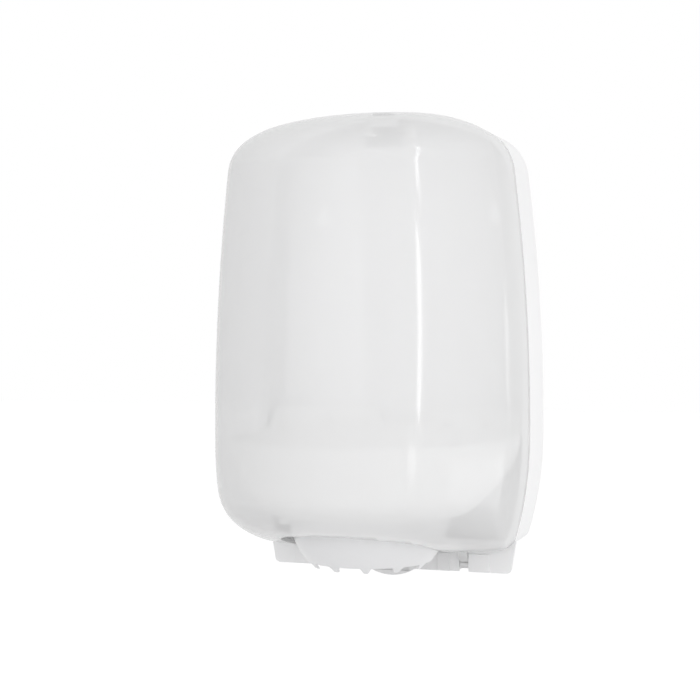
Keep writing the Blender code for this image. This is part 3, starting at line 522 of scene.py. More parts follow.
corner = np.linspace(0, math.pi / 2, 9)
half = np.column_stack((skirt_half_width - skirt_corner * (1 - np.cos(corner)),
                        skirt_corner * (1 - np.sin(corner))))
half = np.concatenate(([(skirt_top_half_width, skirt_top_height)], half))
skirt_outline = np.concatenate((half, half[::-1] * (-1, 1)))
tab_radius = (tab_half_width**2 + tab_drop**2) / (2 * tab_drop)
sweep = math.asin(tab_half_width / tab_radius)
angles = np.linspace(-sweep, sweep, 40)
tab_outline = np.column_stack((tab_radius * np.sin(angles),
                               tab_radius - tab_drop - tab_radius * np.cos(angles)))
tab_outline = np.concatenate(([(-tab_half_width, tab_rise)], tab_outline, [(tab_half_width, tab_rise)]))
skirt_back = -shell_depth + skirt_thickness
grown = [
    pulled("skirt", skirt_outline, -shell_depth, skirt_back, 1, edge=0.0004),
    pulled("tab", tab_outline, skirt_back - sunk, skirt_back + sunk, 1),
    slab("bulkhead", bulkhead_half_width, (-shell_depth, keeper_foot + gap),
         (-shell_depth + bulkhead_thickness, shell_height - lap)),
]
holes = [
    slab("tab_slot", tab_slot_half_width, (-in_front, tab_slot_foot), (-tab_slot_back, tab_slot_top)),
    slab("lip_relief", relief_half_width, (-relief_front, lug_top + relief_gap),
         (-shell_depth, skirt_top_height)),
    slab("mouth_relief", mouth_half_width, (-mouth_front, floor_surface(mouth_half_width) + shell_wall),
         (-mouth_back, mouth_top)),
]


def keyhole(x, slot_radius, head_radius):
    """Round top of the slot, straight sides and a wider round head below."""
    neck = math.acos(slot_radius / head_radius)
    upper = polar((x, keyhole_height), slot_radius, np.linspace(0, math.pi, 17))
    lower = polar((x, keyhole_height - keyhole_rise), head_radius,
                  np.linspace(math.pi - neck, 2 * math.pi + neck, 33))
    return np.concatenate((upper, lower))


for side in (-1, 1):
    x = side * wall_hole_x
    root, pad_end = -plate_thickness + sunk, -plate_thickness - pad_length
    grown.append(pulled("key_pad", keyhole(x, pad_radius - wall_screw_radius, pad_radius), root, pad_end, 1))
    grown.append(pulled("low_pad", circle((x, lower_hole_height), pad_radius), root, pad_end, 1))
    holes.append(pulled("keyhole", keyhole(x, wall_screw_radius, keyhole_head_radius), overrun,
                        -wall_hole_depth, 1))
    holes.append(bore((x, lower_hole_height), overrun, -wall_hole_depth, 1, wall_screw_radius, 48))
    ends = span(side, inner_lug[0], outer_lug[1])
    grown.append(block("lugs", (ends[0], -lug_front, lug_foot), (ends[1], -lug_back, lug_top),
                       edge=lug_edge))
    ends = span(side, inner_lug[1] - lap, outer_lug[0] + lap)
    grown.append(block("web", (ends[0], -web_front, lug_foot), (ends[1], -web_back, lug_top)))
    ends = span(side, inner_lug[1] - lap, outer_lug[0] - stop_gap)
    grown.append(block("stop", (ends[0], -window_back, lug_foot), (ends[1], -web_back, lug_top)))
    ends = span(side, inner_lug[1], outer_lug[0])
    holes.append(block("window", (ends[0], -in_front, -overrun),
                       (ends[1], -window_back, floor_height - gap)))
    ends = span(side, outer_lug[0] - stop_gap, outer_lug[0])
    holes.append(block("knuckle_room", (ends[0], -room_front, -overrun),
                       (ends[1], -room_back, floor_height - gap)))
    ends = span(side, inner_lug[0] - overrun, outer_lug[1] - pin_end_wall)
    holes.append(bore(hinge, *ends, 0, pin_radius + gap))
    for middle in (sum(inner_lug) / 2, sum(outer_lug) / 2, skirt_half_width - skirt_corner):
        rib_root = skirt_back - sunk
        rib = [(rib_root, rib_foot), (rib_root, rib_top), (rib_root + rib_reach, rib_top)]
        start = side * middle - rib_thickness / 2
        grown.append(pulled("rib", rib, start, start + rib_thickness, 0))
    for place in tray_screw_places:
        boss = circle((side * place, tray_screw_height), tray_boss_radius, 40)
        grown.append(pulled("tray_boss", boss, -plate_thickness + sunk, -tray_rear_wall + gap, 1))
        holes.append(bore((side * place, tray_screw_height), -blind_floor, -tray_bore_end, 1, *screw_hole))
    holes.append(bore((side * keeper_screw_x, keeper_screw_height), -keeper_bore_front,
                      -keeper_bore_back, 1, *screw_hole))
fused(shell, grown, holes)


def group(name, inputs, outputs):
    """An empty node group with its sockets: (name, kind, value) in and (name, kind) out."""
    tree = bpy.data.node_groups.new(name, "ShaderNodeTree")
    for label, kind, value in inputs:
        tree.interface.new_socket(label, in_out="INPUT", socket_type=kind).default_value = value
    for label, kind in outputs:
        tree.interface.new_socket(label, in_out="OUTPUT", socket_type=kind)
    return tree, tree.nodes.new("NodeGroupInput").outputs, tree.nodes.new("NodeGroupOutput")


def moulded_grain():
    """The fine spark-eroded grain of a moulding: a close noise for the height, and a slow noise
    that makes some places a little shinier and a little darker than others. Handling dulls the
    sharp edges and leaves faint scuffs: there the wear adds to the roughness."""
    tree, given, made = group("moulded_grain", (
        ("Grain Size", "NodeSocketFloat", 0.0006), ("Shine", "NodeSocketFloat", 0.4),
        ("Shine Change", "NodeSocketFloat", 0.06), ("Colour", "NodeSocketColor", (1, 1, 1, 1)),
        ("Colour Change", "NodeSocketFloat", 0.03), ("Wear", "NodeSocketFloat", 0.05),
    ), (("Colour", "NodeSocketColor"), ("Roughness", "NodeSocketFloat"), ("Height", "NodeSocketFloat")))
    place = node(tree, "TexCoord").outputs["Object"]
    size = node(tree, "Math", [(1.0, 0), (given["Grain Size"], 1)], operation="DIVIDE")
    grain = node(tree, "TexNoise", [(place, "Vector"), (size.outputs[0], "Scale")], detail=3.0)
    slow = node(tree, "TexNoise", [(place, "Vector")], scale=22.0, detail=4.0)
    swing = node(tree, "Math", [(slow.outputs["Fac"], 0), (0.5, 1)], operation="SUBTRACT")
    shine = node(tree, "Math", [(swing.outputs[0], 0), (given["Shine Change"], 1),
                                          (given["Shine"], 2)], operation="MULTIPLY_ADD")
    scuff = node(tree, "TexNoise", [(place, "Vector")], scale=160.0, detail=6.0, distortion=1.5)
    scuffs = node(tree, "MapRange", [(scuff.outputs["Fac"], "Value")], from_min=0.60, from_max=0.75)
    edge = node(tree, "NewGeometry").outputs["Pointiness"]
    edges = node(tree, "MapRange", [(edge, "Value")], from_min=0.52, from_max=0.60)
    worn = node(tree, "Math", [(scuffs.outputs[0], 0), (edges.outputs[0], 1)], operation="MAXIMUM")
    dulled = node(tree, "Math", [(worn.outputs[0], 0), (given["Wear"], 1),
                                           (shine.outputs[0], 2)], operation="MULTIPLY_ADD")
    shade = node(tree, "Math", [(swing.outputs[0], 0), (given["Colour Change"], 1), (1.0, 2)],
                 operation="MULTIPLY_ADD")
    tint = node(tree, "VectorMath", [(given["Colour"], 0), (shade.outputs[0], "Scale")],
                operation="SCALE")
    feed(tree, made, [(tint.outputs[0], "Colour"), (dulled.outputs[0], "Roughness"),
                      (grain.outputs["Fac"], "Height")])
    return tree


grain_group = moulded_grain()


def plastic(name, colour, roughness, grain=0.0006, depth=0.00002, change=0.03, **fixed):
    """A moulded plastic: its colour and shine go through the grain, the rest is set outright."""
    material, tree, shader = blank_material(name)
    skin = node(tree, "Group", node_tree=grain_group, grain_size=grain, shine=roughness,
                colour=(*colour, 1), colour_change=change)
    bump = node(tree, "Bump", [(skin.outputs["Height"], "Height")], distance=depth, strength=0.6)
    feed(tree, shader, [(skin.outputs["Colour"], "Base Color"), (skin.outputs["Roughness"], "Roughness"),
                        (bump.outputs["Normal"], "Normal")])
    for socket, value in fixed.items():
        shader.inputs[socket.replace("_", " ")].default_value = value
    return material


shell_white = plastic("shell_white", (0.86, 0.86, 0.865), 0.38)
finished(shell, shell_white)
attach(shell, "base")
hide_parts("back_shell")


# Roll tray. A bowl moulded in natural white polypropylene: its floor has a round hole for the
# mouthpiece, it is round in front and squarer behind, and a high upstand at the back with a
# shallow notch is screwed to four bosses of the back shell.

nozzle_depth = 0.108
tray_wall = 0.0025
tray_front_reach = 0.110
tray_rear_reach = 0.097
tray_floor = 0.0575
tray_rim = 0.1145
upstand_height = 0.132
ramp_length = 0.020
hole_radius = 0.0658
flange_seat = 0.0796
rear_power = 8
bowl_round = 0.006

angles = all_round(240)
across, back = np.cos(angles), np.sin(angles)
front_reach = 1 / np.hypot(across / tray_half_width, back / tray_front_reach)
sideways = (np.abs(across) / tray_half_width) ** rear_power
backwards = (np.maximum(back, 0) / tray_rear_reach) ** rear_power
reach = np.where(back > 0, (sideways + backwards) ** (-1 / rear_power), front_reach)
along = np.clip((reach * back - nozzle_depth + shell_depth) / ramp_length, 0, 1)
rim = tray_rim + (upstand_height - tray_rim) * along**2 * (3 - 2 * along)
run_shares = np.array((0, 0.35, 0.62, 0.82, 0.94, 1.0))
rise_shares = np.array((0, 0.18, 0.36, 0.56, 0.74, 0.88))
radius = flange_seat + (reach[:, None] - flange_seat) * run_shares
height = np.broadcast_to(tray_floor + (tray_rim - tray_floor) * rise_shares, radius.shape)

# The inside is a run of points from the hole to the rim for each angle; the outside lies square to
# it at the wall's thickness.
inner_radius = np.column_stack((np.full(len(angles), hole_radius), radius, reach))
inner_height = np.column_stack((np.full(len(angles), tray_floor), height, rim))
inside = np.stack((inner_radius, inner_height), axis=-1)
inside = rounded(inside, bowl_round, steps=4)
steps = np.diff(inside, axis=1)
steps /= np.maximum(np.linalg.norm(steps, axis=-1, keepdims=True), 1e-9)
square = np.stack((steps[..., 1], -steps[..., 0]), axis=-1)
joined = np.concatenate((square[:, :1], square[:, :-1] + square[:, 1:], square[:, -1:]), axis=1)
joined /= np.linalg.norm(joined, axis=-1, keepdims=True)
outside = inside + tray_wall * joined
wall = np.concatenate((inside, outside[:, ::-1]), axis=1)
rings = np.stack((wall[..., 0] * across[:, None], wall[..., 0] * back[:, None] - nozzle_depth,
                  wall[..., 1]), axis=-1)
tray = lofted("roll_tray_moulding", rings, around=True)
ring_screw_circle = 0.0743
ring_screw_places = polar((0.0, -nozzle_depth), ring_screw_circle, math.pi / 4 + all_round(4))
ring_boss_radius = 0.004
boss_length = 0.0055
boss_foot = tray_floor - tray_wall - boss_length
notch_half_width = 0.022
notch_depth = 0.012
notch_splay = 0.025
notch_round = 0.003
notch_back, notch_front = 0.002, 0.030
tray_hole_front = 0.016
notch_foot, notch_top = upstand_height - notch_depth, upstand_height + overrun
notch = np.array([(-notch_half_width, notch_foot), (notch_half_width, notch_foot),
                  (notch_splay, notch_top), (-notch_splay, notch_top)])
grown = [pulled("boss", circle(place, ring_boss_radius, 32), boss_foot, tray_floor - lap, 2)
         for place in ring_screw_places]
holes = [pulled("notch", rounded(notch, notch_round, steps=5, closed=True), -notch_back, -notch_front, 1)]
holes += [bore(place, boss_foot + blind_floor, tray_floor + overrun, 2, *screw_hole)
          for place in ring_screw_places]
for side in (-1, 1):
    for place in tray_screw_places:
        holes.append(bore((side * place, tray_screw_height), 0.0, -tray_hole_front, 1, *screw_hole))
fused(tray, grown, holes)
tray_white = plastic("tray_white", (0.87, 0.87, 0.86), 0.42, grain=0.0009)
finished(tray, tray_white, edge=0.0005)
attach(tray, "base")
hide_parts("roll_tray")


# Mouthpiece. The lower part of a ball in white ABS that hangs through the tray's floor, with
# twelve blunt teeth round its lower edge for tearing the paper and a flat flange above.

crown_radius = 0.0655
crown_middle = 0.0585
crown_wall = 0.0022
crown_flange_radius = 0.079
crown_flange = 0.002
crown_edge = 0.0166
tooth_count = 12
tooth_length = 0.0044
tooth_root = 0.0095
tooth_tip = 0.0028
tooth_softness = 0.10
crown_round = 0.0005

angles = all_round(tooth_count * 24)
edge_radius = math.sqrt(crown_radius**2 - (crown_middle - crown_edge) ** 2)

# How far along the edge each angle is from the middle of the nearest tooth, and the share of the
# tooth's length that stands there.
from_tooth = np.abs((angles / (2 * math.pi) * tooth_count + 0.5) % 1 - 0.5)
from_tooth = from_tooth * 2 * math.pi / tooth_count * edge_radius
flank = np.clip((tooth_root / 2 - from_tooth) / ((tooth_root - tooth_tip) / 2), 0, 1)
share = flank - tooth_softness * np.sin(2 * math.pi * flank)
edge_height = crown_edge - tooth_length * share
flange_foot = tray_floor + gap
flange_top = flange_foot + crown_flange
down = np.linspace(0, 1, 11)
heights = flange_foot + (edge_height[:, None] - flange_foot) * np.sin(down * math.pi / 2)
ball = np.sqrt(crown_radius**2 - (crown_middle - heights) ** 2)
outer = np.stack((ball, heights), axis=-1)
inner = np.stack((ball - crown_wall, heights), axis=-1)[:, ::-1]
inner[:, -1] = (crown_radius - crown_wall, flange_top)
flange = np.broadcast_to(np.array([(crown_flange_radius, flange_top), (crown_flange_radius, flange_foot)]),
                         (len(angles), 2, 2))
section = np.concatenate((flange, outer, inner), axis=1)
section = rounded(section, crown_round, steps=2, closed=True)
turn = angles - math.pi / 2 + math.pi / tooth_count
rings = np.stack((section[..., 0] * np.cos(turn)[:, None],
                  section[..., 0] * np.sin(turn)[:, None] - nozzle_depth, section[..., 1]), axis=-1)
crown = lofted("mouthpiece", rings, around=True)
holes = [bore(place, flange_foot - overrun, flange_top + overrun, 2, *screw_hole)
         for place in ring_screw_places]
fused(crown, removed=holes)
crown_white = plastic("mouthpiece_white", (0.84, 0.84, 0.85), 0.30)
finished(crown, crown_white)
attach(crown, "base")
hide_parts("nozzle_crown")


# Feed funnel. A white acetal cone that turns freely on the mouthpiece's flange; the paper tail
# runs through its throat, and the funnel follows the tail round the mouthpiece.

funnel_foot = flange_top + gap
guide = crown_radius - crown_wall - closing_gap
throat = 0.011
throat_foot, throat_top = 0.024, 0.030
throat_lead = 0.001
spigot_length = 0.004
funnel_round = 0.0009
funnel_wall = 0.002
funnel_radius = 0.0685
profile = rounded([
    (funnel_radius, funnel_foot + funnel_wall),
    (funnel_radius, funnel_foot),
    (guide, funnel_foot),
    (guide, funnel_foot - spigot_length),
    (throat + funnel_wall, throat_top),
    (throat + funnel_wall, throat_foot),
    (throat, throat_foot),
    (throat, throat_top + throat_lead),
    (guide - funnel_wall, funnel_foot - funnel_wall),
    (guide - funnel_wall / 2, funnel_foot + funnel_wall),
], funnel_round, steps=4, closed=True)
funnel = turned("funnel", profile, nozzle_depth, sides=160)
funnel_white = plastic("funnel_white", (0.88, 0.88, 0.87), 0.32, grain=0.0012, depth=0.00001)
finished(funnel, funnel_white)
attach(funnel, "feed")
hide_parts("feed_funnel")


# Retaining ring. A stepped ring in the tray's polypropylene, held by four screws that go through
# it and the mouthpiece's flange; its lip lies over the funnel's flange and lets it turn.

step_radius = 0.0691
lip_radius = 0.0625
lip_foot = funnel_foot + funnel_wall + gap
ring_lip = 0.002
ring_edge = 0.001
ring_round = 0.0004
ring_top = lip_foot + ring_lip
profile = rounded([
    (crown_flange_radius, ring_top - ring_edge),
    (crown_flange_radius, funnel_foot),
    (step_radius, funnel_foot),
    (step_radius, lip_foot),
    (lip_radius, lip_foot),
    (lip_radius, ring_top),
    (crown_flange_radius - ring_edge, ring_top),
], ring_round, steps=3, closed=True)
ring = turned("retaining_ring_moulding", profile, nozzle_depth, sides=160)
holes = [bore(place, funnel_foot - overrun, ring_top + overrun, 2, *screw_hole)
         for place in ring_screw_places]
fused(ring, removed=holes)
finished(ring, tray_white)
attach(ring, "base")
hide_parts("retaining_ring")


# Keeper. A plate pressed from zinc-coated steel on the short wall under the shell's top edge; its
# arm ends in a peg that the lock's hook closes round.

keeper_thickness = 0.002
keeper_height = 0.0125
keeper_half_width = 0.018
arm_half_width = 0.005
peg_half_width = 0.0025
peg_depth = 0.003
peg_behind_lock = 0.010
keeper_corner = 0.0025
keeper_hole_back = 0.049
keeper_front = -(shell_depth + gap + keeper_thickness)
lock_depth = 0.071
peg_tip = -(lock_depth - peg_behind_lock)
cam_top = 0.35948
cam_thickness = 0.0085
keeper_top = keeper_foot + keeper_height
plate_outline = rounded([(-keeper_half_width, keeper_foot), (keeper_half_width, keeper_foot),
                         (keeper_half_width, keeper_top), (-keeper_half_width, keeper_top)],
                        keeper_corner, steps=6, closed=True)
keeper = pulled("keeper", plate_outline, keeper_front, -(shell_depth + gap), 1, edge=0.0002)
grown = [
    slab("arm", arm_half_width, (peg_tip, keeper_foot),
         (keeper_front + lap, keeper_foot + keeper_thickness)),
    slab("peg", peg_half_width, (peg_tip, cam_top - cam_thickness), (peg_tip + peg_depth, keeper_foot + lap)),
]
holes = [bore((side * keeper_screw_x, keeper_screw_height), -in_front, -keeper_hole_back, 1, *screw_hole)
         for side in (-1, 1)]
fused(keeper, grown, holes)


def metal(name, colour, roughness):
    """Zinc-coated steel: a cloudy bloom of small crystals over the sheen of rolled sheet."""
    material, tree, shader = blank_material(name)
    place = node(tree, "TexCoord").outputs["Object"]
    bloom = node(tree, "TexVoronoi", [(place, "Vector")], scale=900.0)
    cloud = node(tree, "TexNoise", [(place, "Vector")], scale=260.0, detail=5.0)
    tone = node(tree, "MapRange", [(bloom.outputs["Color"], "Value")], to_min=0.90, to_max=1.05)
    tint = node(tree, "VectorMath", [(colour, 0), (tone.outputs[0], "Scale")], operation="SCALE")
    shine = node(tree, "MapRange", [(cloud.outputs["Fac"], "Value")], to_min=roughness - 0.08,
                 to_max=roughness + 0.12)
    bump = node(tree, "Bump", [(cloud.outputs["Fac"], "Height")], strength=0.5, distance=0.00001)
    feed(tree, shader, [(tint.outputs[0], "Base Color"), (1.0, "Metallic"),
                        (shine.outputs[0], "Roughness"), (bump.outputs["Normal"], "Normal")])
    return material


zinc = metal("zinc_sheet", (0.66, 0.66, 0.64), 0.32)
finished(keeper, zinc, edge=0.00025)
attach(keeper, "base")
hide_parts("keeper_plate")


# Screws. Zinc-coated pan-head screws for plastic with a cross recess: four hold the tray's
# upstand, four the retaining ring and two the keeper, and a wider one holds the lock's cam.

ridge_pitch = 0.0006
ridge_end = 0.0016
core_radius = 0.0011
point_radius, point_length = 0.0008, 0.0012
head_radius, head_rim, head_dome = 0.003, 0.0006, 0.0012
dome_power = 0.7
plain_shank = 0.0004
cross_reach, cross_half_width, cross_start = 0.0017, 0.00032, -0.003


def pan_screw(name, node_name, body, seat, direction, length, head=head_radius):
    """A profile turned about the screw's axis: cone point, ridged shank, flat under the head and a
    domed top, with two crossed slots in it."""
    ridges = np.arange(ridge_pitch, length - ridge_end, ridge_pitch)
    widths = np.where(np.arange(len(ridges)) % 2, screw_radius, core_radius)
    shank = np.stack((widths, ridges), axis=-1)[::-1]
    dome = np.linspace(0, math.pi / 2, 7)
    top = np.column_stack((head * np.cos(dome) ** dome_power, -head_rim - head_dome * np.sin(dome)))
    profile = np.concatenate(([(0.0, length), (point_radius, length - point_length)], shank,
                              [(screw_radius, plain_shank), (screw_radius, 0.0), (head, 0.0)], top))
    turn = all_round(28)
    local = np.stack((profile[:, :1] * np.cos(turn), profile[:, :1] * np.sin(turn),
                      profile[:, 1:] + 0 * turn), axis=-1)
    aim = np.array(Vector(direction).to_track_quat("Z", "X").to_matrix())
    screw = lofted(name, local @ aim.T + np.array(seat))
    slots = []
    for turned_slot in (0, 1):
        half = np.array([(-cross_reach, -cross_half_width), (cross_reach, -cross_half_width),
                         (cross_reach, cross_half_width), (-cross_reach, cross_half_width)])
        half = half[:, ::-1] if turned_slot else half
        cross = [np.column_stack((half, np.full(4, reach))) @ aim.T + np.array(seat)
                 for reach in (cross_start, -head_rim)]
        slots.append(lofted("slot", cross))
    fused(screw, removed=slots)
    finished(screw, zinc, crease=30)
    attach(screw, body)
    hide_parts(node_name)


# The upstand is not quite flat, so each screw's seat follows its inner face: flat_at is the share
# of the bowl's rear reach at that place.
number = 0
for place in tray_screw_places:
    for side in (-1, 1):
        number += 1
        flat_at = (1 - ((place + head_radius) / tray_half_width) ** rear_power) ** (1 / rear_power)
        seat_depth = nozzle_depth - tray_rear_reach * flat_at + gap
        pan_screw(f"tray_fixing_{number}", f"tray_screw_{number}", "base",
                  (side * place, -seat_depth, tray_screw_height), (0, 1, 0), seat_depth - plate_thickness)
ring_seat = ring_top + gap
point_room = 0.0018
keeper_screw_length = 0.0071
for number, place in enumerate(ring_screw_places, 1):
    pan_screw(f"ring_fixing_{number}", f"ring_screw_{number}", "base", (*place, ring_seat), (0, 0, -1),
              ring_seat - boss_foot - point_room)
for name, side in (("left", -1), ("right", 1)):
    pan_screw(f"keeper_fixing_{name}", f"keeper_screw_{name}", "base",
              (side * keeper_screw_x, keeper_front - gap, keeper_screw_height), (0, 1, 0),
              keeper_screw_length)


# Hinge pins. Two plain steel rods with rounded ends, pushed into the lugs from the middle.

pin_end_room = 0.0015
for name, side in (("left", -1), ("right", 1)):
    ends = span(side, inner_lug[0] + gap, outer_lug[1] - pin_end_room)
    pin = pulled(f"pin_{name}", circle(hinge, pin_radius, 40), *ends, 0, edge=0.0004)
    finished(pin, zinc)
    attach(pin, "base")
    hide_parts(f"hinge_pin_{name}")


# Cover. One large moulding in milky, glossy polystyrene, 2.5 mm thick: a roof that rounds over at
# the brow, an upright bowed front and a chin that sweeps back under it. A deep cut-out in its
# underside clears the mouthpiece, a boss in its roof takes the lock, and two eyes under its lower
# edge turn on the hinge pins.

chin_height = 0.079
chin_lead, chin_sweep = 1.07, 0.41
straight_share = 0.374
seam = shell_depth + seam_gap


def chin_line(depth):
    """Height of the underside: it rises slowly from the seam and ever faster towards the chin."""
    run = (depth - shell_depth) / (overall_depth - shell_depth)
    return chin_height - (chin_height - floor_height) * (1 - run**chin_lead) ** chin_sweep


def front_depth(height, inset):
    """Depth of the cover's middle line at each height: the roof above and the chin below, both
    moved inwards square to themselves by the inset."""
    depths = shell_depth + (overall_depth - shell_depth) * np.sin(np.linspace(0, math.pi / 2, 4000))
    lines = []
    for heights, inwards in ((shell_height - roof_line(depths), -1), (chin_line(depths), 1)):
        forward, upward = np.gradient(depths), np.gradient(heights)
        length = np.hypot(forward, upward)
        lines.append((depths - inset * np.abs(upward) / length, heights + inwards * inset * forward / length))
    above = np.interp(-height, -lines[0][1], lines[0][0])
    below = np.interp(height, lines[1][1], lines[1][0])
    return np.maximum(np.where(height > widest_height, above, below), seam)


def cover_side(inset):
    """One side of the cover's wall. Each level is a pair of straight sides and half an ellipse
    that joins them: as wide as the outline there and as deep as the middle line."""
    levels = half_outline(inset)[1:-1]
    half_width, height = levels[:, :1], levels[:, 1:]
    middle = front_depth(height, inset)
    straight = seam + straight_share * (middle - seam)
    share = np.linspace(0, 1, 6, endpoint=False)
    turn = np.linspace(0, math.pi / 2, 30, endpoint=False)
    x = np.concatenate((half_width + 0 * share, half_width * np.cos(turn)), axis=1)
    depth = np.concatenate((seam + (straight - seam) * share,
                            straight + (middle - straight) * np.sin(turn)), axis=1)
    x = np.concatenate((x, 0 * middle, -x[:, ::-1]), axis=1)
    depth = np.concatenate((depth, middle, depth[:, ::-1]), axis=1)
    return np.stack((x, -depth, height + 0 * x), axis=-1)


outer, inner = cover_side(0.0), cover_side(cover_wall)
rows, columns = outer.shape[:2]
size = rows * columns
poles = [(0, -seam, shell_height), (0, -seam, floor_height),
         (0, -seam, shell_height - cover_wall), (0, -seam, floor_height + cover_wall)]

# Both sides are nets of four-sided faces. Fans to the poles close them above and below, and a
# band along the seam joins the outside to the inside.
points = np.concatenate((outer.reshape(-1, 3), inner.reshape(-1, 3), poles))
row, step = np.arange(rows - 1)[:, None], np.arange(columns - 1)[None, :]
here = row * columns + step
quads = np.stack((here, here + columns, here + columns + 1, here + 1), axis=-1).reshape(-1, 4)
faces = quads.tolist() + (quads[:, ::-1] + size).tolist()
step = np.arange(columns - 1)
for start, top, foot in ((0, 2 * size, 2 * size + 1), (size, 2 * size + 2, 2 * size + 3)):
    faces += np.stack((0 * step + top, start + step, start + step + 1), axis=-1).tolist()
    low = start + (rows - 1) * columns + step
    faces += np.stack((0 * step + foot, low + 1, low), axis=-1).tolist()
for column in (0, columns - 1):
    edge = np.concatenate(([2 * size], np.arange(rows) * columns + column, [2 * size + 1]))
    lining = np.concatenate(([2 * size + 2], np.arange(rows) * columns + column + size, [2 * size + 3]))
    faces += np.stack((edge[:-1], edge[1:], lining[1:], lining[:-1]), axis=-1).tolist()
cover = solid("cover_moulding", points, faces)

cutout_half_width = 0.0595
cutout_depth = 0.197
cutout_corner = 0.058
cutout_top = 0.060
corner = np.linspace(0, math.pi / 2, 25)
half = np.column_stack((cutout_half_width - cutout_corner * (1 - np.cos(corner)),
                        -(cutout_depth - cutout_corner) - cutout_corner * np.sin(corner)))
half = np.concatenate(([(cutout_half_width, -shell_depth + overrun)], half))
cutout = np.concatenate((half, half[::-1] * (-1, 1)))
recess_depth = 0.0035
recess_seat = shell_height - float(roof_line(lock_depth)) - recess_depth
lock_boss_length = 0.009
lock_boss_foot = recess_seat - lock_boss_length
lock_boss_radius = 0.012
lock_boss_rise = 0.0022
recess_radius = 0.0096
lock_hole_radius = 0.0060
middle_line = (0.0, -lock_depth)
grown = [pulled("boss", circle(middle_line, lock_boss_radius, 64), lock_boss_foot,
                recess_seat + lock_boss_rise, 2)]
holes = [
    pulled("cutout", cutout, -overrun, cutout_top, 2),
    bore(middle_line, recess_seat, recess_seat + 2 * overrun, 2, recess_radius, 64),
    bore(middle_line, lock_boss_foot - overrun, recess_seat + overrun, 2, lock_hole_radius, 64),
]
knuckle_radius = 0.005
knuckle_length = 0.0075
leaf_reach = 0.007
for side in (-1, 1):
    outer = outer_lug[0] - gap
    ends = span(side, outer, outer - knuckle_length)
    top = floor_surface(outer) + cover_wall / 2
    back = -(seam + gap / 2)
    eye_top = hinge_height + knuckle_radius - gap
    leaf = [(back - leaf_reach, top), (back, top), (back, eye_top), (-hinge_depth, eye_top),
            hinge, (-hinge_depth - knuckle_radius + gap, hinge_height)]
    grown.append(pulled("leaf", leaf, *ends, 0))
    grown.append(pulled("eye", circle(hinge, knuckle_radius), *ends, 0))
    holes.append(bore(hinge, ends[0] - overrun, ends[1] + overrun, 0, pin_radius + gap))
fused(cover, grown, holes)
milky_colour = (0.95, 0.95, 0.955)
milky = plastic("milky_plastic", milky_colour, 0.11, grain=0.004, depth=0.00001, change=0.01, Alpha=0.67)
lining = plastic("milky_lining", milky_colour, 0.30, grain=0.004, depth=0.00001, change=0.01, Alpha=0.12)
finished(cover, milky, edge=0.0003)

# A look through the wall crosses both of its faces. Most of the milkiness is set on the outside,
# and the faces that look into the cover have a thin veil of it.
cover.data.materials.append(lining)
count = len(cover.data.polygons)
centres, normals = np.empty(3 * count), np.empty(3 * count)
cover.data.polygons.foreach_get("center", centres)
cover.data.polygons.foreach_get("normal", normals)
inside_point = (0, -0.08, -0.01)
outwards = ((centres.reshape(-1, 3) - inside_point) * normals.reshape(-1, 3)).sum(axis=1)
cover.data.polygons.foreach_set("material_index", (outwards < 0).astype(np.int32))
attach(cover, "cover")
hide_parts("front_cover")


# Lock. A round barrel in grey acetal sits in the cover's roof with its slotted flange in a recess;
# a round nut with two flats holds it from below, and a hooked cam on its square tang, held by a
# screw, grips the keeper when the key turns it.

seat = recess_seat + gap
nut_height = 0.0027
nut_foot = lock_boss_foot - gap - nut_height
barrel_length_below = 0.0034
barrel_end = nut_foot - barrel_length_below
tang_end = barrel_end - cam_thickness / 2
tang_half_width = 0.003
socket_half_width = 0.0033
barrel_radius = 0.0057
flange = 0.0093
flange_thickness = 0.0025
flange_top = seat + flange_thickness
lock_round = 0.0004
profile = np.array([(0.0, barrel_end), (barrel_radius, barrel_end), (barrel_radius, seat), (flange, seat),
                    (flange, flange_top), (0.0, flange_top)])
profile = rounded(profile, lock_round, steps=3)
turn = all_round(64)
rings = np.stack((profile[:, :1] * np.cos(turn), profile[:, :1] * np.sin(turn) - lock_depth,
                  profile[:, 1:] + 0 * turn), axis=-1)
barrel = lofted("barrel", rings)
grown = [slab("tang", tang_half_width, (-lock_depth - tang_half_width, tang_end),
              (-lock_depth + tang_half_width, barrel_end + sunk))]
key_reach, key_half_width = 0.0045, 0.0011
key_floor, key_top = 0.001, 0.006
tang_bore_depth = 0.0045
holes = [
    slab("key_slot", key_reach, (-lock_depth - key_half_width, seat + key_floor),
         (-lock_depth + key_half_width, seat + key_top)),
    bore(middle_line, tang_end - overrun, barrel_end + tang_bore_depth, 2, *screw_hole),
]
fused(barrel, grown, holes)
lock_grey = plastic("lock_grey", (0.16, 0.165, 0.17), 0.42, grain=0.0007)
finished(barrel, lock_grey, edge=0.0002)
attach(barrel, "lock")
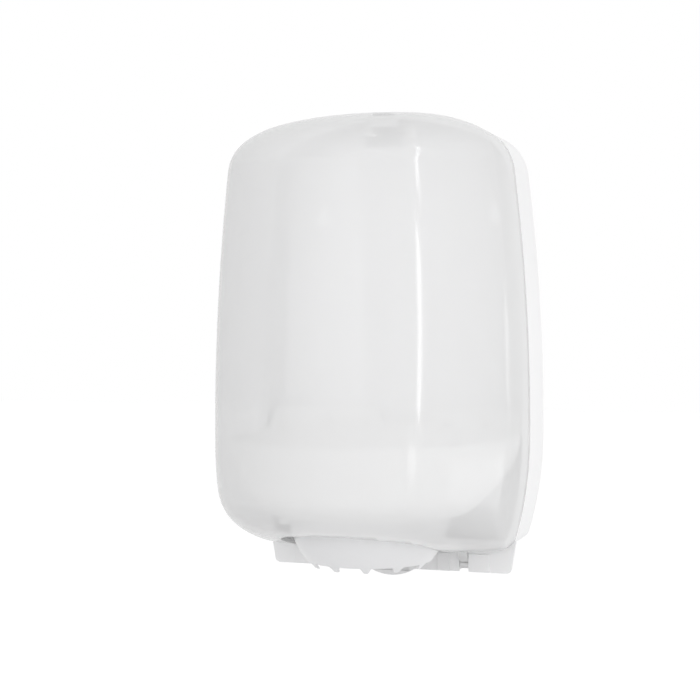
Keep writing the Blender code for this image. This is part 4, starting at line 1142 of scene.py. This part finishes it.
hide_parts("lock_barrel")

nut_radius = 0.0092
nut_top = nut_foot + nut_height
profile = rounded([(nut_radius, nut_top), (nut_radius, nut_foot), (lock_hole_radius, nut_foot),
                   (lock_hole_radius, nut_top)], lock_round, steps=3, closed=True)
nut = turned("barrel_nut", profile, lock_depth, sides=72)
flat_reach = 0.0084
flat_cut, flat_length, flat_height = 0.002, 0.02, 0.0018
flats = []
for side in (-1, 1):
    ends = span(side, flat_reach, flat_reach + flat_cut)
    flats.append(block("flat", (ends[0], -lock_depth - flat_length / 2, nut_foot - lap),
                       (ends[1], -lock_depth + flat_length / 2, nut_foot + flat_height)))
fused(nut, removed=flats)
finished(nut, lock_grey, edge=0.0002)
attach(nut, "cover")
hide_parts("lock_nut")


def arc(radius, first, last, count):
    """Points at one radius between two bearings in degrees."""
    return polar((0, 0), radius, np.radians(np.linspace(first, last, count)))


def cam_plan(outer):
    """Plan of the cam when it is open: a hook to the right and a plain lobe to the left."""
    hub, hollow = 0.007, 0.0136
    return np.concatenate((arc(outer, -47, 43, 36), arc(hollow, 43, -17, 24), arc(hub, -17, 150, 30),
                           arc(outer, 150, 205, 20), arc(hub, 205, 313, 20)))


cam_foot = cam_top - cam_thickness
foot_reach, top_reach = 0.0148, 0.0165
rings = []
for height, outer in ((cam_foot, foot_reach), (cam_top, top_reach)):
    plan = cam_plan(outer) + (0, -lock_depth)
    rings.append(np.column_stack((plan, np.full(len(plan), height))))
cam = lofted("cam", rings)
holes = [
    slab("socket", socket_half_width, (-lock_depth - socket_half_width, tang_end - gap),
         (-lock_depth + socket_half_width, cam_top + overrun)),
    bore(middle_line, cam_foot - overrun, cam_top, 2, *screw_hole),
]
fused(cam, removed=holes)
finished(cam, lock_grey, edge=0.0003)
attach(cam, "lock")
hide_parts("lock_cam")
cam_screw_length = 0.01075
cam_head_radius = 0.004
pan_screw("cam_fixing", "cam_screw", "lock", (0.0, -lock_depth, cam_foot - gap), (0, 0, 1),
          cam_screw_length, head=cam_head_radius)
